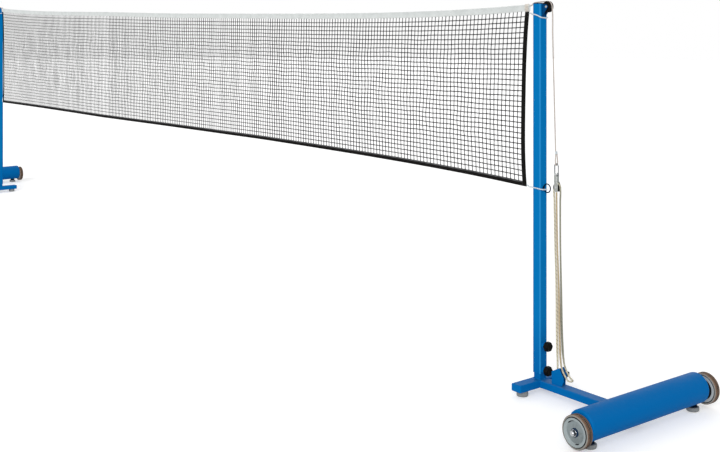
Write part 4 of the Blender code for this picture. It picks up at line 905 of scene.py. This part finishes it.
def smooth(route, spacing):
    """Evenly close points of a smooth curve through a route's own points."""
    points = [Vector(point) for point in route]
    points = [2 * points[0] - points[1]] + points + [2 * points[-1] - points[-2]]
    curve = [points[1]]
    for before, start, end, after in zip(points, points[1:], points[2:], points[3:]):
        run_in, run, run_out = start - before, end - start, after - end
        length = run.length
        leave = (run_in * length / run_in.length + run * run_in.length / length)
        leave *= length / (run_in.length + length)
        arrive = (run * run_out.length / length + run_out * length / run_out.length)
        arrive *= length / (run_out.length + length)
        pieces = max(1, round(length / spacing))
        for step in range(1, pieces + 1):
            t = step / pieces
            curve.append(start * (2 * t**3 - 3 * t**2 + 1) + leave * (t**3 - 2 * t**2 + t)
                         + end * (3 * t**2 - 2 * t**3) + arrive * (t**3 - t**2))
    return curve


def over_wheel(centre, radius, first, last, count):
    """Points of a rope over a sheave, from one bearing to another in degrees."""
    return on_middle(arc((centre.x, centre.z), radius, first, last, count - 1))


def risen(height, *points):
    """Route points that were measured from a height."""
    return [(x, y, z + height) for x, y, z in points]


hook_low, hook_high = own_box("snap_hook")
head_start = own_box("tension_rope")[0].x
head_run = risen(POST_TOP, (head_start, 0.0000, -0.0085), (-0.0500, 0.0000, -0.0083),
                 (-0.0430, 0.0000, -0.0050), (-0.0350, 0.0000, 0.0010), (-0.0270, 0.0000, 0.0042),
                 (-0.0180, 0.0000, 0.0052), (0.0000, 0.0000, 0.0066), (0.0200, 0.0000, 0.0078))
eye_turn = risen(hook_low.z + HOOK_WIRE, (0.0840, -0.0004, 0.1045), (0.0858, -0.0016, 0.0815),
                 (0.0875, -0.0048, 0.0675), (0.0888, -0.0062, 0.0585), (0.0890, -0.0061, 0.0495),
                 (0.0890, -0.0045, 0.0439), (0.0890, 0.0000, 0.0414), (0.0890, 0.0045, 0.0439),
                 (0.0890, 0.0061, 0.0495), (0.0888, 0.0064, 0.0585), (0.0880, 0.0060, 0.0675),
                 (0.0868, 0.0056, 0.0775), (0.0856, 0.0055, 0.0865), (0.0848, 0.0056, 0.0955))
over_top = over_wheel(sheave_centre, 0.0185 + ROPE_RADIUS + ROPE_CLEAR, 95, 3, 8)
fall_start, fall_end = Vector(over_top[-1]), Vector(eye_turn[0])
fall = [fall_start.lerp(fall_end, step / 5) for step in range(1, 5)]
tension_route = smooth(head_run + over_top + fall + eye_turn, 0.0030)
stand("tension_line", tube_mesh(tension_route, ROPE_RADIUS, WHITE_ROPE, 12), "stand", "white_cord",
      "tension_rope")


def seizing(low, high, wide, spread, radius, turns):
    """The route of a thin cord wound round two rope parts that lie side by side."""
    low, high = Vector(low), Vector(high)
    axis = (high - low).normalized()
    wide = (Vector(wide) - axis * Vector(wide).dot(axis)).normalized()
    narrow = axis.cross(wide)
    steps = turns * 20
    route = []
    for step in range(steps + 1):
        turn = math.tau * turns * step / steps
        route.append(low.lerp(high, step / steps) + wide * (spread + radius) * math.cos(turn)
                     + narrow * radius * math.sin(turn))
    return route


bound = seizing((0.0852, 0.0022, 0.9555), (0.0845, 0.0025, 0.9665), wide=(0, 1, 0), spread=0.0028,
                radius=ROPE_RADIUS + 0.0006, turns=SEIZING_TURNS)
stand("rope_seizing", tube_mesh(bound, SEIZING_CORD, TIE_CORD, 6), "stand", "white_cord")

# ================================================================ snap hook
# A bright steel snap hook joins the rope's eye to the tackle block. Its gate is a
# sprung rod that swings inwards on a small rivet.
GATE_WIRE, GATE_CLEAR = 0.0020, 0.0002
HOOK_STEEL = plated("hook_steel", (0.34, 0.35, 0.36), (0.16, 0.16, 0.17), 0.20)
gate_low, gate_high = own_box("hook_gate")
hook_x = (hook_high.x + hook_low.x) / 2
bow = (hook_high.x - hook_low.x) / 2 - HOOK_WIRE
bow_low, bow_high = hook_low.z + HOOK_WIRE + bow, hook_high.z - HOOK_WIRE - bow
gate_x = hook_x + bow
hook_route = straight((gate_x, 0, gate_low.z - GATE_CLEAR), (gate_x, 0, bow_low), 0.002)[:-1]
hook_route += on_middle(arc((hook_x, bow_low), bow, 0, -180, 20) + arc((hook_x, bow_high), bow, 180, 0, 20)
                        + [(gate_x, gate_high.z + GATE_CLEAR)])
stand("snap_hook_body", tube_mesh(hook_route, HOOK_WIRE, HOOK_STEEL, 16), "stand", "bright_steel",
      "snap_hook")


def gate_thickness(run):
    """The gate's foot is rounded about its rivet, so that it clears the hook as it swings."""
    below = max(0.0, GATE_WIRE - run) / GATE_WIRE
    return GATE_WIRE * math.sqrt(max(0.04, 1 - below * below))


gate = [(gate_x, gate_low.z + up) for up in (0.0, 0.0002, 0.0005, 0.0009, 0.0014, 0.0020)]
gate += [(gate_x, gate_high.z - 0.0006), (gate_x, gate_high.z)]
stand("gate_rod", tube_mesh(on_middle(gate), gate_thickness, HOOK_STEEL, 14), "hook_gate",
      "bright_steel", "hook_gate")
rivet = mirrored([(ON_AXIS, 0.0031), (0.0008, 0.0030), (0.0012, 0.0026), (0.0013, 0.0020)])
stand("gate_rivet", turned(rivet, DULL_ZINC, 24), "hook_gate", "bright_steel",
      at=(gate_x, 0, gate_low.z + GATE_WIRE))

# ================================================================ tackle block
# A galvanised block: two cheeks drawn out into straps that pin to the hook, with
# a small nylon sheave between them for the tackle rope.
BLOCK_GROOVE, BLOCK_BORE = 0.0126, 0.00275
STRAP, CHEEK_DROP, CHEEK_RISE = 0.0060, 0.0175, 0.0240
CHEEK_GAP, CHEEK_PLATE, PIN_RADIUS = 0.0007, 0.0020, 0.0025
block_low, block_high = own_box("tackle_block")
small_centre, small_size = middle_and_half("block_sheave")
stand("block_sheave_wheel", sheave(small_size.x, BLOCK_GROOVE, small_size.y, BLOCK_BORE), "block_sheave",
      "black_plastic", "block_sheave", at=small_centre)
pin_z = hook_low.z + 2 * HOOK_WIRE + PIN_RADIUS + ROPE_CLEAR
half = (block_high.x - block_low.x) / 2
lean = hook_x - small_centre.x
outline = arc((0, half - CHEEK_DROP), half, 180, 360, 24)
outline += [(half, CHEEK_RISE * 0.5), (half - 0.0016, CHEEK_RISE * 0.68),
            (lean + STRAP + 0.0012, CHEEK_RISE), (lean + STRAP, CHEEK_RISE + 0.0035)]
outline += arc((lean, pin_z - small_centre.z), STRAP, 0, 180, 14)
outline += [(lean - STRAP, CHEEK_RISE + 0.0035), (lean - STRAP - 0.0008, CHEEK_RISE),
            (0.0016 - half, CHEEK_RISE * 0.68), (-half, CHEEK_RISE * 0.5)]
outline = [(small_centre.x + x, small_centre.z + z) for x, z in outline]
plate_in = small_size.y + CHEEK_GAP
plate_out = plate_in + CHEEK_PLATE
cheeks = merge(plate_bmesh(outline, -plate_out, -plate_in), plate_bmesh(outline, plate_in, plate_out))
soften(stand("block_cheeks", mesh_from(cheeks, DULL_ZINC), "stand", "zinc_steel", "tackle_block"),
       0.0006)
dome = [(ON_AXIS, plate_out + 0.0012), (0.0018, plate_out + 0.0011), (0.0034, plate_out + 0.0006),
        (0.0038, plate_out), (PIN_RADIUS, plate_out)]
for label, x, z in (("sheave", small_centre.x, small_centre.z), ("hook", hook_x, pin_z)):
    stand("block_%s_rivet" % label, turned(mirrored(dome), BRIGHT_ZINC, 32), "stand", "bright_steel",
          at=(x, 0, z))

# ================================================================ tackle rope
# The same braid in beige. It starts in the cleat, goes over the block's sheave,
# back down through the cleat's teeth, turns up in a bight and ends at the block.
ROPE_THICKNESS = ((0.130, 0.0034), (0.190, 0.0044), (0.340, 0.0044), (0.520, 0.0035))  # height, radius
TACKLE_SEAT = 0.0163
BEIGE_ROPE = rope_finish("beige_tracer_rope", (0.78, 0.73, 0.57), (0.58, 0.53, 0.39),
                         (0.12, 0.12, 0.06), 0.0040)
# The strand that runs back down from the block is darkened: painted shade, partly soil
tree = BEIGE_ROPE.node_tree
along = add_node(tree, "SeparateXYZ", add_node(tree, "TexCoord").outputs["UV"]).outputs[1]
shaded_return = times(tree, ramp(tree, along, 0.74, 0.80, 0.0, 0.75), ramp(tree, along, 1.42, 1.50, 1.0, 0.0))
tint(BEIGE_ROPE, shaded_return, (0.20, 0.21, 0.17))
tint(BEIGE_ROPE, ramp(tree, along, 1.56, 1.66, 0.0, 0.6), (0.44, 0.30, 0.15))
rise = [(0.1035, -0.0100, 0.1020), (0.1038, -0.0100, 0.1300), (0.1003, -0.0096, 0.2280),
        (0.0947, -0.0065, 0.4200), (0.0846, -0.0030, 0.6050), (0.0782, -0.0004, 0.7700)]
return_run = [
    (0.1080, 0.0004, 0.7700), (0.1062, 0.0030, 0.6050), (0.1073, 0.0065, 0.4200),
    (0.1100, 0.0095, 0.2280), (0.1158, 0.0100, 0.1550), (0.1218, 0.0100, 0.1280),
    (0.1310, 0.0100, 0.1110), (0.1420, 0.0100, 0.0960), (0.1530, 0.0108, 0.0850),
    (0.1600, 0.0108, 0.0812), (0.1660, 0.0080, 0.0800), (0.1685, 0.0000, 0.0796),
    (0.1660, -0.0080, 0.0800), (0.1600, -0.0108, 0.0812), (0.1530, -0.0108, 0.0850),
    (0.1420, -0.0100, 0.0960), (0.1310, -0.0100, 0.1110), (0.1232, -0.0100, 0.1280),
    (0.1190, -0.0100, 0.1550), (0.1145, -0.0098, 0.2280), (0.1085, -0.0084, 0.4200),
    (0.0998, -0.0079, 0.6050), (0.0962, -0.0077, 0.7700), (0.0960, -0.0077, 0.8072),
]
tackle_route = smooth(rise + over_wheel(small_centre, TACKLE_SEAT, 183, -2, 9) + return_run, 0.0035)
runs = [0.0]
for before, after in zip(tackle_route, tackle_route[1:]):
    runs.append(runs[-1] + (after - before).length)


def rope_thickness(run):
    """The rope's radius at a length along it: the cleat squeezes it, and hauling swells it."""
    height = tackle_route[min(len(runs) - 1, bisect.bisect_left(runs, run - 0.00001))].z
    for (low, thin), (high, full) in zip(ROPE_THICKNESS, ROPE_THICKNESS[1:]):
        if height < high:
            share = min(1.0, max(0.0, (height - low) / (high - low)))
            return thin + (full - thin) * share
    return ROPE_THICKNESS[-1][1]


stand("tackle_line", tube_mesh(tackle_route, rope_thickness, BEIGE_ROPE, 12), "stand", "beige_cord",
      "tackle_rope")

# ================================================================ ties
# White cord ties the net's side tape to the post: one is lashed round the post
# under the pulley, the other runs from the net's lower corner to the eye.
TIE_RADIUS, TIE_SPACING, TIE_ABOVE_CORNER = 0.0024, 0.0025, 0.0060
top_tie = risen(POST_TOP, (own_box("top_tie")[0].x, 0.0000, -0.0380), (-0.0440, -0.0050, -0.0382),
                (-0.0330, -0.0140, -0.0392), (-0.0245, -0.0205, -0.0402),
                (-0.0180, -0.0224, -0.0412), (0.0000, -0.0224, -0.0450), (0.0180, -0.0224, -0.0510),
                (0.0212, -0.0212, -0.0528), (0.0224, -0.0180, -0.0540), (0.0224, 0.0000, -0.0563),
                (0.0224, 0.0180, -0.0565), (0.0212, 0.0212, -0.0560), (0.0180, 0.0224, -0.0550),
                (0.0000, 0.0224, -0.0515), (-0.0180, 0.0224, -0.0480), (-0.0245, 0.0205, -0.0465),
                (-0.0330, 0.0120, -0.0445), (-0.0415, -0.0035, -0.0422))
bottom_tie = risen(eye_middle.z, (-0.0480, -0.0110, -0.0040), (-0.0260, -0.0200, -0.0010),
                   (-0.0180, -0.0224, -0.0012), (0.0000, -0.0224, -0.0020),
                   (0.0180, -0.0224, -0.0032), (0.0220, -0.0214, -0.0038),
                   (0.0260, -0.0180, -0.0046), (0.0290, -0.0110, -0.0058),
                   (0.0300, 0.0000, -0.0062), (0.0300, 0.0100, -0.0060))
stand("post_lashing", tube_mesh(smooth(top_tie, TIE_SPACING), TIE_RADIUS, TIE_CORD, 12), "stand",
      "white_cord", "top_tie")
for side in SIDES:
    low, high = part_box(side + "_bottom_tie")
    start_x = low[0] - POST_X if side == "right" else -(high[0] + POST_X)
    corner_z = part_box(side + "_side_tape")[0][2] + TIE_ABOVE_CORNER
    begin = [(start_x, 0, corner_z), (start_x + 2 * TIE_RADIUS, 0, corner_z)]
    cord_mesh = tube_mesh(smooth(begin + bottom_tie, TIE_SPACING), TIE_RADIUS, TIE_CORD, 12)
    stand("corner_cord", cord_mesh, "stand", "white_cord", "bottom_tie", sides=(side,))

# ================================================================ net
# Knotted black thread in square meshes of about 22 mm, hung from the head tape.
# The head sags a little between the posts, and the foot bows up.
TOP_SAG, SAG_POWER, FOOT_RISE, SIDE_BOW = 0.040, 5, 0.018, 0.0165
HEAD_TAPE, FOOT_TAPE, SIDE_TAPE = 0.028, 0.0200, 0.0210
FOOT_FROM_POST = 0.0725              # the net's lower corner from its post's axis
HEAD_LIFT, FOOT_LIFT = 0.010, 0.008  # how far a side's pull draws an edge off its even curve
MESH_ROWS, MESH_COLUMNS = 32, 262
THREAD, KNOT, TUCK = 0.00165, 0.0022, 0.001
DRIFT_SEED = 5                       # the same net on every run
SLACK, FINE_SLACK = 0.0035, 0.0016   # how far knots stray in a hung net, over a hand's width and less
WEATHERING = 0.18
HALF_TOP, NET_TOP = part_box("head_tape")[1][0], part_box("head_tape")[1][2]
HALF_FOOT = POST_X - FOOT_FROM_POST
CORNER = {side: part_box(side + "_side_tape")[0][2] for side in SIDES}
NET_THREAD = surface("net_thread_black", 0.8, specular=0.08)
tree, shader = opened(NET_THREAD)
fray = mottle(tree, add_node(tree, "TexCoord").outputs["Object"], 600.0, 3.0, 0.6)
tone = add_node(tree, "ValToRGB", fray)
for stop, colour in zip(tone.color_ramp.elements, ((0.006, 0.006, 0.006, 1), (0.024, 0.024, 0.025, 1))):
    stop.color = colour
tree.links.new(tone.outputs[0], shader["Base Color"])
relief(NET_THREAD, fray, 0.0004)


def pull(share):
    """How far a half of the net is drawn off its even curve, from 0 at the middle and the end."""
    return min(1.0, share / 0.35) * (1 - share ** 6) if share > 0 else 0.0


def net_top(x):
    """Height of the net's top edge."""
    share = x / HALF_TOP
    return NET_TOP - TOP_SAG * (1 - abs(share) ** SAG_POWER) + HEAD_LIFT * pull(-share)


def net_foot(x):
    """Height of the net's bottom edge."""
    share = x / HALF_FOOT
    middle, tilt = (CORNER["right"] + CORNER["left"]) / 2, (CORNER["right"] - CORNER["left"]) / 2
    bowed = middle + tilt * share + FOOT_RISE * (1 - abs(share) ** SAG_POWER)
    return bowed + FOOT_LIFT * pull(share) - HEAD_LIFT * pull(-share)


def half_width(x, z):
    """Half the net's width at a height, on the side that x is on."""
    low = CORNER["right"] if x > 0 else CORNER["left"]
    up = (z - low) / (NET_TOP - low)
    return HALF_FOOT + (HALF_TOP - HALF_FOOT) * up - SIDE_BOW * (1 - abs(2 * up - 1) ** 3)


def crossing_at(column, row):
    """Where two threads are knotted, with the small unevenness of a hung net."""
    share = column / MESH_COLUMNS * 2 - 1
    up = row / MESH_ROWS
    x = share * (HALF_TOP - SIDE_TAPE)
    low, high = net_foot(x) + FOOT_TAPE - TUCK, net_top(x) - HEAD_TAPE + TUCK
    z = low + (high - low) * up
    x = share * (half_width(x, z) - SIDE_TAPE + TUCK)
    inside = min(1.0, 4 * up, 4 * (1 - up), 12 * (1 - abs(share)))
    place = Vector((x * 9, z * 9, 0.0))
    drift = noise.noise_vector(place) * SLACK + noise.noise_vector(place * 7.3) * FINE_SLACK
    return Vector((x + drift.x * inside, drift.y * 1.2 * inside, z + drift.z * inside))


def add_thread(curve, points):
    """One thread of the net through (place, radius) points."""
    spline = curve.splines.new("POLY")
    spline.points.add(len(points) - 1)
    for point, (place, radius) in zip(spline.points, points):
        point.co = (*place, 1)
        point.radius = radius


noise.seed_set(DRIFT_SEED)
knots = [[crossing_at(column, row) for row in range(MESH_ROWS + 1)]
         for column in range(MESH_COLUMNS + 1)]
fullness = [1 + WEATHERING * (column / MESH_COLUMNS * 2 - 1) for column in range(MESH_COLUMNS + 1)]
threads = bpy.data.curves.new("net_threads", "CURVE")
threads.dimensions = "3D"
threads.bevel_depth = 1.0
threads.bevel_resolution = 0
for row in range(1, MESH_ROWS):
    add_thread(threads, [(drop[row], THREAD * full) for drop, full in zip(knots, fullness)])
for drop, full in zip(knots, fullness):
    points = [(drop[0], KNOT * full)]
    for below, above in zip(drop, drop[1:]):
        points += [((below + above) / 2, THREAD * full), (above, KNOT * full)]
    add_thread(threads, points)
threads.materials.append(NET_THREAD)


def hang(name, data, node):
    """A piece that the two posts share, on the stand in place of its CAD node."""
    piece = new_object(name, data)
    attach(piece, "stand")
    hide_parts(node)


hang("net_threads", threads, "net_mesh")

# ================================================================ tapes
# A white woven tape is folded over the head cord and stitched along its lower
# edge. Black woven tapes bind the sides and the foot in the same way.
TAPE_SHEET, HEAD_BULGE, TAPE_STEPS, SIDE_STEPS = 0.0012, 0.0030, 400, 60
YARNS, STITCHES = 5200.0, 260.0   # yarns in radians and stitches in counts, to the metre

woven_tape, given, result = new_group("woven_tape", ("Colour", "Shade", "Stitch"), ("Seam",),
                                      ("Colour", "Height"))
along = add_node(woven_tape, "SeparateXYZ", add_node(woven_tape, "TexCoord").outputs["UV"]).outputs
cloth = times(woven_tape, *(math_node(woven_tape, "SINE", times(woven_tape, way, YARNS))
                            for way in (along[0], along[1])))
soil = mottle(woven_tape, add_node(woven_tape, "TexCoord").outputs["Object"], 22.0, 5.0, 0.7)
toned = blend_colours(woven_tape, ramp(woven_tape, soil, 0.35, 0.75), given["Colour"], given["Shade"])
from_seam = math_node(woven_tape, "ABSOLUTE",
                      math_node(woven_tape, "SUBTRACT", along[1], given["Seam"]))
dash = math_node(woven_tape, "FRACT", times(woven_tape, along[0], STITCHES))
stitch = times(woven_tape, math_node(woven_tape, "LESS_THAN", from_seam, 0.0005),
               math_node(woven_tape, "LESS_THAN", dash, 0.7))
woven_tape.links.new(blend_colours(woven_tape, stitch, toned, given["Stitch"]), result["Colour"])
raised = math_node(woven_tape, "ADD", times(woven_tape, cloth, 0.12),
                   ramp(woven_tape, from_seam, 0.0, 0.0016))
raised = math_node(woven_tape, "ADD", raised, times(woven_tape, stitch, 0.8))
woven_tape.links.new(raised, result["Height"])


def tape_finish(name, colour, shade, stitch, seam, specular=0.08):
    """Woven tape with a sewn edge."""
    return finished(surface(name, 0.82, specular=specular), woven_tape, 0.0005, Colour=colour,
                    Shade=shade, Stitch=stitch, Seam=seam)


WHITE_TAPE = tape_finish("white_head_tape", (0.72, 0.75, 0.74), (0.60, 0.63, 0.62),
                         (0.80, 0.81, 0.79), 0.0035, 0.2)
BLACK_TAPE = tape_finish("black_edge_tape", (0.0040, 0.0038, 0.0034), (0.0090, 0.0086, 0.0080),
                         (0.020, 0.020, 0.019), 0.0030)
GATHERED = tape_finish("gathered_net_edge", (0.050, 0.050, 0.052), (0.150, 0.150, 0.155),
                       (0.020, 0.020, 0.019), 0.0060)


def tape_mesh(edge_at, steps, section, material, ripple, seed):
    """Sweep a tape's closed section along an edge: edge_at gives its origin and its width's way."""
    bm = bmesh.new()
    uv = bm.loops.layers.uv.new("along")
    rings, runs, run = [], [], 0.0
    before = None
    for step in range(steps + 1):
        origin, way = edge_at(step / steps)
        if before is not None:
            run += (origin - before).length
        before = origin
        runs.append(run)
        lift = ripple * noise.noise(Vector((run * 4.0, 1.3, seed)))
        rings.append([bm.verts.new(origin + way * up + Vector((0, out + lift, 0)))
                      for out, up in section])
    count = len(section)
    for index in range(steps):
        for corner in range(count):
            after = (corner + 1) % count
            spots = ((index, corner), (index, after), (index + 1, after), (index + 1, corner))
            face = bm.faces.new([rings[ring][place] for ring, place in spots])
            for loop, (ring, place) in zip(face.loops, spots):
                loop[uv].uv = (runs[ring], section[place][1])
    bm.faces.new(list(reversed(rings[0])))
    bm.faces.new(rings[-1])
    return mesh_from(bm, material, 50)


def folded_section(width, sheet, bulge):
    """Section of a tape folded over a cord: (out, up) points, the open edge at 0."""
    side = [(sheet, 0.0), (sheet, 0.0050), (sheet * 0.85, 0.0100)]
    fold = arc((0, width - bulge), bulge, -35, 215, 12)
    return side + fold + [(-out, up) for out, up in reversed(side)]


def flat_section(width, sheet):
    """Section of a flat doubled tape."""
    side = [(sheet, 0.0), (sheet * 1.15, width * 0.3), (sheet * 1.15, width * 0.7), (sheet, width)]
    return side + [(-out, up) for out, up in reversed(side)]


def head_edge(share):
    """The head tape's lower edge."""
    x = (share * 2 - 1) * HALF_TOP
    return Vector((x, 0, net_top(x) - HEAD_TAPE)), Vector((0, 0, 1))


def foot_edge(share):
    """The foot tape's upper edge; its width runs down."""
    share = share * 2 - 1
    z = net_foot(share * HALF_FOOT) + FOOT_TAPE
    return Vector((share * (half_width(share, z) - SIDE_TAPE), 0, z)), Vector((0, 0, -1))


def side_edge(side, sign):
    """The inner edge of a side tape, its width running out."""
    low, high = CORNER[side], net_top(HALF_TOP - SIDE_TAPE) - HEAD_TAPE - 0.0003

    def at(share):
        z = low + (high - low) * share
        return Vector((sign * (half_width(sign, z) - SIDE_TAPE), 0, z)), Vector((sign, 0, 0))
    return at


head_mesh = tape_mesh(head_edge, TAPE_STEPS, folded_section(HEAD_TAPE, TAPE_SHEET, HEAD_BULGE),
                      WHITE_TAPE, ripple=0.0012, seed=16)
hang("head_tape_folded", head_mesh, "head_tape")
foot_mesh = tape_mesh(foot_edge, TAPE_STEPS, flat_section(FOOT_TAPE, 0.0013), BLACK_TAPE, ripple=0.0010,
                      seed=16)
foot_mesh.materials.append(GATHERED)
widths = foot_mesh.uv_layers["along"].data
for polygon in foot_mesh.polygons:
    middle = sum(widths[index].uv.y for index in polygon.loop_indices) / len(polygon.loop_indices)
    if middle < FOOT_TAPE * 0.35:
        polygon.material_index = 1
hang("foot_tape_folded", foot_mesh, "foot_tape")
for side, sign, seed in (("right", 1, 18), ("left", -1, 17)):
    side_mesh = tape_mesh(side_edge(side, sign), SIDE_STEPS, flat_section(SIDE_TAPE, 0.0014), BLACK_TAPE,
                          ripple=0.0006, seed=seed)
    hang(side + "_side_binding", side_mesh, side + "_side_tape")

# The head tape's ends are whipped with beige cord, which holds the rope in them
WHIPPING_CORD, WHIPPING_TURNS, TURN_STEPS = 0.0014, 5, 24
WHIPPING_OUT, WHIPPING_UP = 0.0046, HEAD_TAPE / 2 + 0.0012
WHIPPING = rope_finish("beige_whipping", (0.90, 0.87, 0.82), (0.74, 0.68, 0.60), (0.5, 0.4, 0.3),
                       0.0016)
for side, sign in (("right", 1), ("left", -1)):
    ends = [Vector((x - POST_X, 0, net_top(sign * x) - HEAD_TAPE / 2))
            for x in (HALF_TOP - 0.026, HALF_TOP - 0.005)]
    wound = []
    for step in range(WHIPPING_TURNS * TURN_STEPS + 1):
        turn = math.tau * step / TURN_STEPS
        wound.append(ends[0].lerp(ends[1], step / TURN_STEPS / WHIPPING_TURNS)
                     + Vector((0, WHIPPING_OUT * math.cos(turn), WHIPPING_UP * math.sin(turn))))
    stand("head_whipping", tube_mesh(wound, WHIPPING_CORD, WHIPPING, 8), "stand", "beige_cord",
          sides=(side,))
